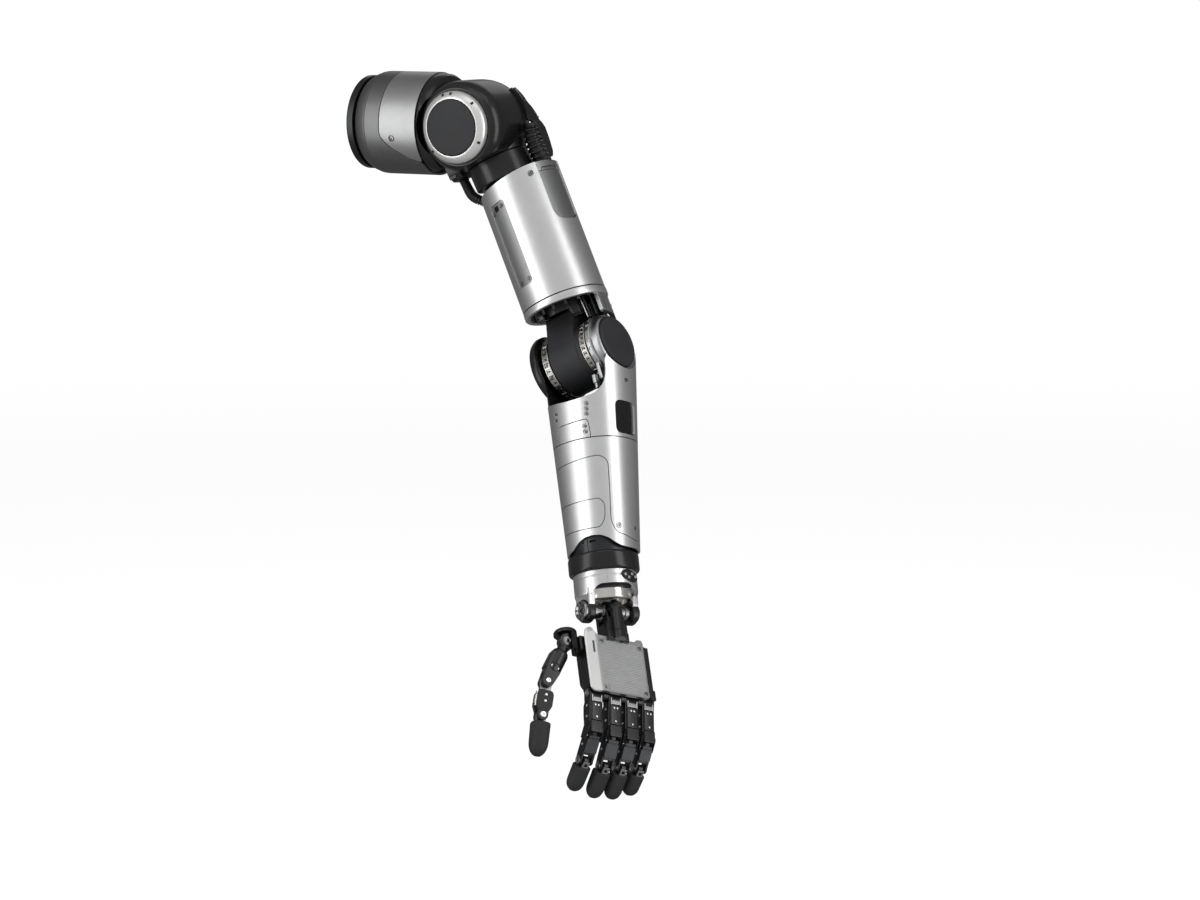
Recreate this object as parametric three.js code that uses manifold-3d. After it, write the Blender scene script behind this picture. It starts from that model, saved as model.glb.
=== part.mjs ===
// A seven-axis humanoid robot arm with a five-finger hand, drawn at rest: shoulder drum, ball,
// upper arm, elbow, forearm, wrist and hand. Millimetres, +Z up, +X outboard, -Y forward.
// The origin is the centre of the mounting flange's flat face, on the shoulder pitch axis.
import * as THREE from "three";
import { mergeVertices } from "three/addons/utils/BufferGeometryUtils.js";
import Module from "manifold-3d";

const wasm = await Module();
wasm.setup();

// ---- driving dimensions (mm, degrees) ----
const BALL_X = 145; // flange face to the roll axis
const ABDUCTION = 27; // upper arm away from the body, at rest
const ELBOW_FLEX = 19;
const CARRYING_ANGLE = 9.5; // forearm axis against the elbow axis' normal
const WRIST_TURN = 71.3;
const WRIST_EXTEND = -14.2;
const WRIST_DEVIATE = 7.8;
const UPPER_DROP = 3.9; // roll axis to the upper arm's own zero
const UPPER_L = 277.5; // upper arm zero to elbow axis
const FOREARM_L = 285; // elbow axis to wrist axis
const DRUM_R = 57;
const BALL_R = 50;
const SHELL_R = 46.5; // upper arm cover
const SHELL_T = 3.2;
const HUB_R = 34;
const BARREL_R = 36;
const KNUCKLE = [6, -99.5]; // y, z of the knuckle shaft in the hand
const FINGERS = [
  // name, x, proximal, middle, distal length, width, rest angles
  ["index", -28.6, 38.5, 34, 36, 14.4, 12.5, 30, 10],
  ["middle", -5, 40, 34.5, 37.5, 14.4, 12.5, 26, 13],
  ["ring", 16, 40.5, 33, 36.5, 14.4, 11.5, 27, 11],
  ["little", 37, 40.5, 31, 32, 13.2, 11, 27.5, 16],
];
const CMC = [-54, 8, -42]; // thumb root in the hand
const THUMB_DIR = [-0.43, 0.26, -0.86];
const THUMB_Y = [0.22, 0.95, 0.18];
const THUMB_L = [52, 38, 44];
const THUMB_BEND = [17, 3];

const rad = THREE.MathUtils.degToRad;

// ---- materials ----
const mat = (color, roughness, metalness) =>
  new THREE.MeshStandardMaterial({ color, roughness, metalness });
const SILVER = mat(0xc9cacc, 0.32, 0.9);
const SILVER_DARK = mat(0x8e9092, 0.4, 0.85);
const STEEL = mat(0xd8d4cc, 0.25, 1.0);
const GUNMETAL = mat(0x55565a, 0.35, 0.85);
const BLACK = mat(0x1d1e20, 0.38, 0.2);
const CAP = mat(0x36373a, 0.6, 0.1);
const GLOSS = mat(0x0c0d0f, 0.08, 0.1);
const RUBBER = mat(0x2c2d2f, 0.8, 0.0);

// ---- solids ----
function solid(geometry) {
  const g = geometry.clone();
  for (const name of Object.keys(g.attributes))
    if (name !== "position") g.deleteAttribute(name);
  const m = mergeVertices(g, 1e-4);
  const p = m.attributes.position.array;
  const keep = [];
  const idx = m.index.array;
  for (let i = 0; i < idx.length; i += 3) {
    const [a, b, c] = [idx[i], idx[i + 1], idx[i + 2]];
    if (a !== b && b !== c && a !== c) keep.push(a, b, c);
  }
  const make = (t) =>
    new wasm.Manifold(
      new wasm.Mesh({ numProp: 3, vertProperties: new Float32Array(p), triVerts: new Uint32Array(t) }),
    );
  let s = make(keep);
  if (s.volume() < 0) {
    for (let i = 0; i < keep.length; i += 3) [keep[i + 1], keep[i + 2]] = [keep[i + 2], keep[i + 1]];
    s = make(keep);
  }
  return s;
}
function geometryOf(s) {
  const m = s.getMesh();
  const v = new Float32Array(m.numVert * 3);
  for (let i = 0; i < m.numVert; i++)
    v.set(m.vertProperties.subarray(i * m.numProp, i * m.numProp + 3), i * 3);
  const g = new THREE.BufferGeometry();
  g.setAttribute("position", new THREE.BufferAttribute(v, 3));
  g.setIndex(new THREE.BufferAttribute(new Uint32Array(m.triVerts), 1));
  g.computeVertexNormals();
  return g;
}
const join = (...s) => s.reduce((a, b) => a.add(b));
const cut = (a, ...s) => s.reduce((x, y) => x.subtract(y), a);

// Turns a geometry made about +Z so that its +Z points along an axis, then moves it.
function along(g, axis) {
  if (axis === "x") g.rotateY(Math.PI / 2);
  if (axis === "y") g.rotateX(-Math.PI / 2);
  return g;
}
// Solid of revolution: profile of [radius, height] about an axis.
function lathe(profile, seg = 28, axis = "z") {
  const g = new THREE.LatheGeometry(
    profile.map(([r, h]) => new THREE.Vector2(r, h)),
    seg,
  );
  g.rotateX(Math.PI / 2); // three.js turns about Y; this stands it on Z
  return solid(along(g, axis));
}
const disc = (r, h0, h1, seg = 24, axis = "z") =>
  lathe([[0, h0], [r, h0], [r, h1], [0, h1]], seg, axis);
const tube = (r0, r1, h0, h1, seg = 24, axis = "z") =>
  lathe([[r0, h0], [r1, h0], [r1, h1], [r0, h1], [r0, h0]], seg, axis);
function box(x0, x1, y0, y1, z0, z1) {
  const g = new THREE.BoxGeometry(x1 - x0, y1 - y0, z1 - z0);
  g.translate((x0 + x1) / 2, (y0 + y1) / 2, (z0 + z1) / 2);
  return solid(g);
}
// Outline of points, extruded from h0 to h1 along an axis. Outline axes: z -> (x,y), x -> (y,z), y -> (x,z).
function prism(points, h0, h1, axis = "z", options = {}) {
  const shape = new THREE.Shape(points.map(([a, b]) => new THREE.Vector2(a, b)));
  const g = new THREE.ExtrudeGeometry(shape, { depth: h1 - h0, bevelEnabled: false, ...options });
  g.translate(0, 0, h0);
  const p = g.attributes.position;
  for (let i = 0; i < p.count; i++) {
    const [a, b, c] = [p.getX(i), p.getY(i), p.getZ(i)];
    if (axis === "x") p.setXYZ(i, c, a, b);
    if (axis === "y") p.setXYZ(i, a, c, b);
  }
  return solid(g);
}
function roundRect(a0, a1, b0, b1, r, n = 3) {
  const out = [];
  for (const [ca, cb, t0] of [[a1 - r, b1 - r, 0], [a0 + r, b1 - r, 90], [a0 + r, b0 + r, 180], [a1 - r, b0 + r, 270]])
    for (let i = 0; i <= n; i++) {
      const t = rad(t0 + (90 * i) / n);
      out.push([ca + r * Math.cos(t), cb + r * Math.sin(t)]);
    }
  return out;
}
const arc = (ca, cb, r, t0, t1, n) =>
  Array.from({ length: n + 1 }, (_, i) => {
    const t = rad(t0 + ((t1 - t0) * i) / n);
    return [ca + r * Math.cos(t), cb + r * Math.sin(t)];
  });
// Outline round two circles: a link's side view. Centres (a0,b0) r0 above (a1,b1) r1.
function link(r0, b0, r1, b1, n = 5, a0 = 0, a1 = 0) {
  return [...arc(a0, b0, r0, 0, 180, n), ...arc(a1, b1, r1, 180, 360, n)];
}
// A closed rounded section carried down a straight line, its size and centre changing with height.
function column(sectionAt, z0, z1, steps, seg = 32) {
  const unit = Array.from({ length: seg }, (_, i) => new THREE.Vector2(Math.cos((2 * Math.PI * i) / seg), Math.sin((2 * Math.PI * i) / seg)));
  const g = new THREE.ExtrudeGeometry(new THREE.Shape(unit), { depth: 1, steps, bevelEnabled: false });
  const p = g.attributes.position;
  for (let i = 0; i < p.count; i++) {
    const z = z0 + (z1 - z0) * p.getZ(i);
    const { cx, cy, rx, ry, n = 2, lift = 0, liftX = 0 } = sectionAt(z);
    const t = Math.atan2(p.getY(i), p.getX(i));
    const k = Math.pow(Math.pow(Math.abs(Math.cos(t)), n) + Math.pow(Math.abs(Math.sin(t)), n), -1 / n);
    const y = ry * k * Math.sin(t);
    const x = rx * k * Math.cos(t);
    p.setXYZ(i, cx + x, cy + y, z - lift * y + liftX * x);
  }
  return solid(g);
}
const lerp = (a, b, t) => a + (b - a) * t;

// ---- frames: nested groups carry each segment in its resting pose ----
const arm = new THREE.Group();
function frame(parent, position, ...turns) {
  const g = new THREE.Group();
  g.position.set(...position);
  for (const [axis, deg] of turns)
    g.quaternion.multiply(new THREE.Quaternion().setFromAxisAngle(new THREE.Vector3(...axis), rad(deg)));
  parent.add(g);
  return g;
}
const X = [1, 0, 0], Y = [0, 1, 0], Z = [0, 0, 1];
const gYoke = frame(arm, [0, 0, 0]);
const gBall = frame(gYoke, [BALL_X, 0, 0], [[0, -1, 0], ABDUCTION]);
const gUpper = frame(gBall, [0, 0, -UPPER_DROP]);
const gElbow = frame(gUpper, [0, 0, -UPPER_L], [X, -ELBOW_FLEX]);
const gFore = frame(gElbow, [0, 0, 0], [Y, CARRYING_ANGLE]);
const gRotor = frame(gFore, [0, 0, -FOREARM_L], [Z, WRIST_TURN]);
const gCross = frame(gRotor, [0, 0, 0], [X, WRIST_EXTEND]);
const gHand = frame(gCross, [0, 0, 0], [Y, WRIST_DEVIATE]);

function put(group, name, s, material) {
  const mesh = new THREE.Mesh(geometryOf(s), material);
  mesh.name = name;
  group.add(mesh);
  return mesh;
}

// ================= shoulder mount =================
{
  let flange = disc(52, 0, 8, 32, "x");
  flange = join(flange, tube(18, 33, 7, 16, 32, "x"));
  for (let i = 0; i < 6; i++) {
    const t = rad(60 * i + 30);
    const g = new THREE.CylinderGeometry(2.75, 2.75, 30, 8);
    g.rotateZ(Math.PI / 2);
    g.translate(4, 43 * Math.cos(t), 43 * Math.sin(t));
    flange = cut(flange, solid(g));
  }
  put(arm, "shoulder_flange", flange, BLACK);
  put(arm, "pitch_bearing", tube(33.4, 40, 8.4, 15.5, 32, "x"), STEEL);
}

// ================= shoulder drum and roll bracket =================
{
  // Thin-walled drum, chamfered towards the body, open outboard.
  const drum = lathe(
    [[50, 10.5], [55.5, 20], [DRUM_R, 26], [DRUM_R, 90.5], [55.8, 92], [51.6, 92], [51.6, 30], [41, 22], [41, 10.5], [50, 10.5]],
    40, "x",
  );
  put(gYoke, "shoulder_drum", drum, SILVER);
  // Liner: fills the drum and stands out of it as a lip, scooped round the ball.
  const liner = lathe([[40, 34], [51.2, 34], [51.2, 92.4], [55.4, 92.4], [55.4, 102], [51, 106], [45, 106], [40, 101], [40, 34]], 40, "x");
  put(gYoke, "shoulder_drum_liner", cut(liner, box(84, 120, 20, 80, -19.6, 19.6), disc(BALL_R + 1.6, -80, 80, 32, "y").translate([BALL_X, 0, 0]), box(94, 120, -16, 30, -70, -38)), BLACK);
  // Output disc inside the drum, and the arm that runs behind the ball to the roll axis.
  const plate = disc(39.5, 17, 40, 28, "x");
  const strap = prism(
    [[38, 24], [80, 24], [95, 31], [111, 46], [128, 53.4], [146, 53.4], [146, 62], [124, 62], [106, 55], [97, 46], [90, 34], [38, 34]],
    -19, 19, "z",
  );
  const eye = disc(24, 53.4, 62, 24, "y").translate([BALL_X, 0, 0]);
  put(gYoke, "roll_bracket", join(plate, strap, eye), BLACK);
}

// ================= ball (turns about the roll axis, local Y) =================
const ballProfile = (e = 0) => [
  [0, -54 - e], [39.6 + e, -54 - e], [39.6 + e, -56 - e], [42 + e, -56 - e], [46.4 + e, -52], [49.4 + e, -46], [BALL_R + e, -40], [BALL_R + e, -10], [49.6 + e, 6],
  [46.6 + e, 18], [40.5 + e, 29.5], [31 + e, 39.5], [18 + e, 46], [16.6 + e, 52.9 + e], [0, 52.9 + e],
];
const neckProfile = (e = 0) => [[0, -38 - e], [35.6 + e, -38 - e], [36.4 + e, -34], [39.5 + e, -24], [41 + e, -14], [0, -14]];
{
  const neck = lathe(neckProfile(), 28);
  put(gBall, "ball_housing", join(lathe(ballProfile(), 32, "y"), neck), BLACK);
  put(gBall, "roll_trim_ring",
    lathe([[31, -54.4], [39.2, -54.4], [39.2, -60.7], [36.6, -63.8], [31.8, -66.4], [31, -66.4], [31, -54.4]], 32, "y"), STEEL);
  put(gBall, "roll_cap", lathe([[0, -55], [30.4, -55], [30.4, -66.4], [28.5, -67.6], [0, -68]], 28, "y"), CAP);
  const collar = join(
    cut(disc(34.8, -67.7, -38, 28), lathe(ballProfile(0.4), 32, "y"), lathe(neckProfile(0.4), 28)),
    disc(23, -94, -63, 20),
  );
  put(gBall, "neck_collar", collar, BLACK);
  // Cable guard: a thin fender on the outer side of the ball, with a tail beside the cables.
  const side = [
    ...arc(0, 0, 53, 30, -20, 7), [51.6, -30], [51, -45], [49.6, -57], [47, -62.5], [44.2, -62.5], [46, -56], [47.6, -44], [48.4, -32],
    ...arc(0, 0, 50.3, -20, 30, 7),
  ];
  const reach = [[12, 27], [7, -17.5], [22, -18.5], [24.5, -26], [24.5, -64], [33, -64], [36, -24], [30, -13], [18.5, 2], [14, 27]];
  const guard = cut(prism(side, 5, 38, "y").intersect(prism(reach, 40, 60, "x")), lathe(ballProfile(0.4), 32, "y"));
  put(gBall, "rear_guard", guard, BLACK);
  // Two corrugated cable conduits, each whole from the ball into the upper arm.
  const hose = (pts, r, steps) => {
    const ring = new THREE.Shape(Array.from({ length: 8 }, (_, i) => new THREE.Vector2(r * Math.cos((i * Math.PI) / 4), r * Math.sin((i * Math.PI) / 4))));
    const path = new THREE.CatmullRomCurve3(pts.map((p) => new THREE.Vector3(...p)));
    return solid(new THREE.ExtrudeGeometry(ring, { steps, bevelEnabled: false, extrudePath: path }));
  };
  put(gBall, "conduit_rear", hose([[52, 1, -29], [49.8, 2, -38], [46.8, 6, -50], [43, 14, -64], [39.6, 18.5, -78], [38.5, 20, -96]], 7.6, 14), RUBBER);
  put(gBall, "conduit_front", hose([[-54, 3, -30], [-51.5, 3, -44], [-50, 1.5, -56], [-46.6, -1.6, -64.5], [-41.6, -2.6, -70.8], [-36.5, 0.6, -76.8], [-32.5, 6.4, -84.5], [-31.2, 9.6, -93], [-31, 10, -100]], 5.4, 22), RUBBER);
}

// ================= upper arm (turns about its own axis) =================
{
  const LIFT = 0.15, TOP_LIFT = 0.07;
  const s0 = -69, s1 = -212.5, s2 = -221;
  const centreY = (z) => lerp(14, -2, (-z - 69) / 152);
  const section = (dr) => (z) => {
    const t = (-z - 69) / 152;
    return { cx: 6, cy: centreY(z), rx: SHELL_R + dr, ry: SHELL_R + dr, n: 2.1, lift: lerp(TOP_LIFT, LIFT, t), liftX: lerp(0.127, 0, t) };
  };
  const outer = column(section(0), s1, s0, 3, 40);
  const inner = column(section(-SHELL_T), s1 - 10, s0 + 10, 3, 40);
  const shell = cut(outer, inner);
  const hoseNotch = box(-50, -28, -9, 13, -86, -50);
  const front = box(-80, 80, -90, -0.2, -240, -40);
  const rear = box(-80, 80, 0.2, 90, -240, -40);
  const mid = (s) => s.translate([0, 6, 0]);
  // Recess for the side plate, and the cut for the conduit panel, both through the front cover.
  const turned = (s, az) => s.translate([-6, -6, 0]).rotate([0, 0, az]).translate([6, 6, 0]);
  const side = (half, z0, z1, r, y0, y1) => prism(roundRect(6 - half, 6 + half, z0, z1, r), y0, y1, "y");
  // A cover patch: the part of a thin shell inside a radial block at an azimuth.
  const patch = (az, half, z0, z1, r, y0 = 20) => turned(side(half, z0, z1, r, 6 - 75, 6 - y0), az);
  const accessAz = -15, panelAz = 85;
  const accessCut = patch(accessAz, 11.4, -189, -88, 5);
  const panelCut = patch(panelAz, 19.4, -133, -55, 13);
  put(gUpper, "upper_shell_front", cut(shell.intersect(mid(front)), accessCut, panelCut, hoseNotch), SILVER);
  put(gUpper, "upper_shell_rear", cut(shell.intersect(mid(rear)), panelCut, hoseNotch), SILVER_DARK);
  const skin = (dr0, dr1) => cut(column(section(dr0), s1 + 3, s0 - 3, 3, 40), column(section(dr1), s1 - 10, s0 + 10, 3, 40));
  put(gUpper, "access_plate", skin(-0.9, -SHELL_T).intersect(patch(accessAz, 11, -188.6, -88.4, 4.7)), SILVER_DARK);
  put(gUpper, "conduit_panel", skin(-1.1, -SHELL_T).intersect(patch(panelAz, 19, -132.6, -60, 12.7)), SILVER_DARK);
  const ringOuter = column(section(0.4), s2, s1 - 0.4, 1, 40);
  put(gUpper, "upper_end_ring", cut(ringOuter, column(section(-6), s2 - 10, s1 + 10, 1, 40)), SILVER);

  // Strut at the outer rear: carries the cover's outer surface from the end ring down to the hub.
  const strut = prism([[-4, -204], [-4, -240.5], [14, -243], [28, -249], [31, -246], [31, -204]], 30, 60, "x");
  const strutInner = cut(column(section(-6.5), -256, -200, 2, 32), column(section(-11), -260, -190, 1, 32));
  const strutOuter = cut(column(section(-1.2), -256, -200, 2, 32), column(section(-11), -260, -190, 1, 32)).intersect(box(0, 80, -80, 80, -260, -226.6));
  const strutTie = join(box(30, 42, 16, 23, -207, -204.2), box(30, 34, 16, 23, -212, -204.2));
  put(gUpper, "elbow_strut", join(join(strutInner, strutOuter).intersect(strut), strutTie.intersect(column(section(-6.5), -256, -190, 2, 32))), SILVER_DARK);

  // Inner column: the arm's backbone, from the turning actuator down to the elbow motor.
  const core = join(
    tube(23.4, 26.6, -104, -80, 24),
    disc(26.6, -112, -103, 24),
    disc(19, -206, -110, 16),
    box(-22, 13, -24, 26, -222.8, -198),
    box(11, 34.5, 12, 23.6, -204, -194),
  );
  put(gUpper, "upper_core", core, GUNMETAL);
  // Elbow motor barrel, with its block reaching up to the core.
  const barrel = join(
    disc(BARREL_R, -22.6, 19.2, 32, "x"),
    prism([[-30.3, 19.4], [-8.7, 53.1], [-6, 54.4], [18, 54.4], [26, 49], [28, 20], [0, 0]], -22.6, 13, "x"),
    disc(15, -35.6, 27.2, 16, "x"),
  );
  put(gUpper, "elbow_barrel", barrel.translate([0, 0, -UPPER_L]), BLACK);
  const bearing = (x0, x1, r) => lathe([[15.4, x0], [r - 1, x0], [r, x0 + 1], [r, x1 - 1], [r - 1, x1], [15.4, x1], [15.4, x0]], 28, "x").translate([0, 0, -UPPER_L]);
  put(gUpper, "elbow_bearing_inner", bearing(-31.4, -23, 37), STEEL);
  put(gUpper, "elbow_bearing_outer", bearing(19.6, 27.1, 35.8), STEEL);
}

// ================= forearm =================
const foreR = (z) => lerp(47.6, 38.6, (-z - 48) / 167);
const foreSection = (dr) => (z) => ({ cx: lerp(4, 1, (-z - 48) / 167), cy: 1, rx: foreR(z) + dr, ry: foreR(z) + dr - 1, n: 2.25 });
{
  const toElbow = (s) => s.rotate([0, -CARRYING_ANGLE, 0]); // elbow-axis shapes, seen from the forearm
  // Fork: the shell's upper band, with the outer cheek rising to the hub.
  const band = cut(column(foreSection(0), -101.6, -50, 2, 40), column(foreSection(-4), -110, -40, 2, 40));
  const sweep = toElbow(disc(61, -24, 27.6, 32, "x")); // room for the barrel's block to swing
  const open = toElbow(join(disc(59, -60, 27.6, 32, "x"), box(-60, 27.6, -60, 60, -40, 10)));
  const cheek = toElbow(
    join(
      disc(HUB_R, 28, 44, 32, "x"),
      prism([[-28.6, 0], [33.9, 0], [40, -34], [44, -62], [-46, -62], [-37.2, -54.5], [-32.6, -47.5], [-29.4, -41], [-28.6, -20]], 28, 44, "x"),
    ),
  ).intersect(join(column(foreSection(0), -101.6, 60, 4, 40), toElbow(disc(HUB_R, 28, 44, 32, "x"))));
  const window = prism(roundRect(-17, 17, -97.6, -61, 7), 20, 80, "y").rotate([0, 0, -95]);
  const capSeat = toElbow(disc(29.6, 41, 50, 28, "x"));
  const shaftHole = toElbow(disc(12, 20, 60, 16, "x"));
  put(gFore, "forearm_fork", cut(join(cut(band, open), cheek), window, capSeat, shaftHole), SILVER);
  put(gFore, "elbow_cap_outer", toElbow(lathe([[0, 41.4], [29.2, 41.4], [29.2, 46.6], [27.6, 47.6], [0, 48]], 28, "x")), CAP);
  // Inner cheek, a separate black casting on the body side.
  const inner = toElbow(
    join(
      disc(41.5, -46.4, -36, 32, "x"),
      prism([[-41.4, 0], [41.4, 0], [39, -34], [31, -92], [-31, -92], [-39, -34]], -46.4, -36, "x"),
    ),
  );
  const innerKeep = join(column(foreSection(-4.4), -101.6, -46, 2, 40), box(-80, 0, -60, 60, -49.4, 60));
  put(gFore, "forearm_inner_cheek", cut(inner.intersect(innerKeep), column(foreSection(-4), -120, -92.6, 1, 32), toElbow(disc(24, -60, -43.6, 24, "x")), shaftHole, toElbow(disc(15.5, -60, -30, 16, "x"))), BLACK);
  put(gFore, "elbow_cap_inner", toElbow(disc(23.6, -47.6, -43.9, 24, "x")), CAP);
  put(gFore, "forearm_window", cut(window, column(foreSection(-4.1), -130, -20, 2, 40)).intersect(column(foreSection(-1.2), -130, -20, 2, 40)).intersect(
    prism(roundRect(-16.7, 16.7, -97.3, -61.3, 6.7), 20, 80, "y").rotate([0, 0, -95])), GLOSS);

  // Lower cover in two halves; its front edge arches up over the wrist motor.
  const cover = cut(column(foreSection(0), -222, -102.4, 2, 36), column(foreSection(-2.5), -232, -92, 2, 36));
  const archway = prism(
    [[-29, -240], [-29, -226], [-22, -216], [-8, -211], [8, -211], [20, -217], [27, -226], [28, -240]],
    -80, 0, "y").rotate([0, 0, 34]);
  const seam = 22;
  const half = (y0, y1) => box(-90, 90, y0, y1, -240, -90).translate([4, 1, 0]).rotate([0, 0, seam]);
  put(gFore, "forearm_cover_front", cut(cover, archway).intersect(half(-90, -0.2)), SILVER);
  put(gFore, "forearm_cover_rear", cut(cover, archway).intersect(half(0.2, 90)), SILVER_DARK);
  // Core: backbone of the forearm and the wrist motor's visible end.
  const core = join(
    disc(29, -208, -93, 24),
    lathe([[0, -228.4], [33.2, -228.4], [33.8, -226], [33.8, -206], [29, -200], [0, -200]], 32),
    column(foreSection(-4.3), -99, -93, 1, 32),
  );
  put(gFore, "forearm_core", core, GUNMETAL);
}

// ================= wrist =================
{
  put(gRotor, "wrist_band", lathe([[28, 36.2], [36.5, 36.2], [38.2, 38], [38.2, 53.5], [37, 55.8], [28, 55.8], [28, 36.2]], 36), BLACK);
  const ring = lathe([[24, 13], [31, 13], [34.2, 16], [34.2, 35.9], [10, 35.9], [10, 31], [24, 31], [24, 13]], 32);
  const lug = (x0, x1) => join(disc(13.5, x0, x1, 18, "x"), box(x0, x1, -13.5, 13.5, 0, 18));
  const bores = disc(6.6, -50, 50, 16, "x");
  const boss = lathe([[0, 24], [7.5, 24], [7.5, 36], [6.5, 37], [0, 37]], 14, "y").rotate([0, 0, 180]).rotate([0, 0, 62]).translate([0, 0, 25]);
  put(gRotor, "wrist_collar", cut(join(ring, lug(24, 33), lug(-33, -24), cut(boss, disc(25, 0, 40, 24))), bores), SILVER);
  put(gRotor, "wrist_drive", lathe([[0, 20], [16, 20], [19, 22], [19, 30.7], [9.7, 30.7], [9.7, 52], [0, 52]], 24), STEEL);
  const cross = join(box(-9, 9, -8.5, 8.5, -9, 9), disc(6.2, -32.6, 32.6, 16, "x"), disc(5, -15.5, 15.5, 14, "y"));
  put(gCross, "wrist_cross", cross, BLACK);
  put(gRotor, "wrist_bearing_cap", lathe([[0, -37], [9.5, -37], [10.8, -35.6], [10.8, -33.3], [0, -33.3]], 18, "x"), STEEL);
}

// ================= hand =================
{
  const [ky, kz] = KNUCKLE;
  const body = prism(roundRect(-36, 40, -5, 20, 5), -91.5, -36.9, "z");
  const bridge = box(-13, 13, -14.6, 18, -37.1, -30);
  const post = join(disc(5, -34, 0, 12).translate([0, -14.4, 0]), disc(7.6, -16.4, -9.4, 16, "y"), box(-5, 5, -16.4, -9.6, -34, 0));
  const rear = join(box(-7.6, 7.6, 9.2, 15, -34, 0), disc(7.6, 9.2, 15, 16, "y"));
  const lug = (x0, x1) => join(prism(link(6.6, kz, 6.6, kz), x0, x1, "x").translate([0, ky, 0]), box(x0, x1, ky - 6.6, ky + 6.6, kz, -90));
  const shaftHole = disc(2.9, -60, 60, 10, "x").translate([0, ky, kz]);
  const holes = disc(5.5, -30, 30, 14, "y");
  const chassis = cut(join(body, bridge, post, rear, lug(-19.6, -13.9), lug(3, 8), lug(24, 29.4)), shaftHole, holes);
  put(gHand, "palm_chassis", chassis, BLACK);
  put(gHand, "knuckle_shaft", disc(2.5, -37, 44.5, 8, "x").translate([0, ky, kz]), STEEL);
  const plateOutline = [[-39.5, -36], [-37, -28], [-30, -27], [-26, -37], [23, -37.5], [25, -33], [31, -33], [33.5, -38], [33.5, -98], [30, -102.5], [-35, -102.5], [-39.5, -98]];
  put(gHand, "hand_back_plate", prism(plateOutline, -9.6, -5.3, "y"), SILVER);
  put(gHand, "palm_pad", prism(roundRect(-32, 36, -88, -42, 8), 20.3, 23.5, "y"), RUBBER);
  // Thumb root: upright swivel housing at the hand's thumb side.
  const [cx, cy, cz] = CMC;
  const root = cut(
    join(disc(12.5, cz - 12, cz + 13, 20).translate([cx, cy, 0]), box(cx, -36.3, -3, 17, cz - 12, cz + 6)),
    disc(10.6, cz - 14, cz + 8.5, 16).translate([cx, cy, 0]), box(cx - 20, cx, cy - 20, cy + 20, cz - 14, cz + 8.5),
    box(cx - 20, cx + 11, cy - 0.5, cy + 20, cz - 14, cz + 8.5),
  );
  put(gHand, "thumb_base", root, BLACK);

  // ---- fingers ----
  for (const [name, x, l1, l2, l3, w, a1, a2, a3] of FINGERS) {
    const h = w / 2;
    const g1 = frame(gHand, [x, ky, kz], [X, a1]);
    const g2 = frame(g1, [0, 0, -l1], [X, a2]);
    const g3 = frame(g2, [0, 0, -l2], [X, a3]);
    // Proximal link: eye on the knuckle shaft, fork at the far end.
    const side = [...arc(0, 0, 6.3, 0, 180, 6), [-6.6, -12], [-6.8, -l1 + 14], ...arc(0, -l1, 5.6, 180, 360, 6), [7.4, -l1 + 15.5], [7.4, -13.5], [5.6, -9.5]];
    const prox = cut(prism(side, -h, h, "x"), box(-3.3, 3.3, -20, 20, -l1 - 10, -l1 + 7.4), disc(2.9, -20, 20, 10, "x"));
    put(g1, name + "_proximal", prox, GUNMETAL);
    // Middle link: tongue in that fork, its own fork below, broad back.
    const side2 = [...arc(0, 0, 5.4, 0, 180, 6), [-5.4, -7], [-6.6, -9], [-6.8, -l2 + 9], ...arc(0, -l2, 5, 180, 360, 6), [5.6, -l2 + 9], [5.6, -9], [5.2, -7]];
    const mid = cut(prism(side2, -h, h, "x"), box(2.9, 20, -20, 20, -7.6, 20), box(-20, -2.9, -20, 20, -7.6, 20), box(-3, 3, -20, 20, -l2 - 10, -l2 + 6.6));
    put(g2, name + "_middle", mid, BLACK);
    // Distal link: tongue and core of the fingertip.
    const side3 = [...arc(0, 0, 4.8, 0, 180, 6), [-4.2, -8], [-3.6, -l3 + 12], [3.6, -l3 + 12], [4.2, -8]];
    const dist = prism(side3, -2.7, 2.7, "x");
    put(g3, name + "_distal", dist, STEEL);
    // Rubber fingertip, moulded round the core.
    const tipR = h + 1.8;
    const tip = column((z) => {
      const t = (-z - 8) / (l3 - 8);
      const k = t < 0.62 ? 1 : Math.sqrt(Math.max(0.05, 1 - Math.pow((t - 0.62) / 0.42, 2)));
      return { cx: 0, cy: 0.6, rx: tipR * k * lerp(1, 0.93, t), ry: 8.2 * k, n: 2.6 };
    }, -l3, -8, 6, 14);
    const pocket = prism([[-4.6, -4], [4.6, -4], [4.6, -8], [4, -l3 + 11.6], [-4, -l3 + 11.6], [-4.6, -8]], -3.1, 3.1, "x");
    put(g3, name + "_tip", cut(tip, pocket), RUBBER);
  }

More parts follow.
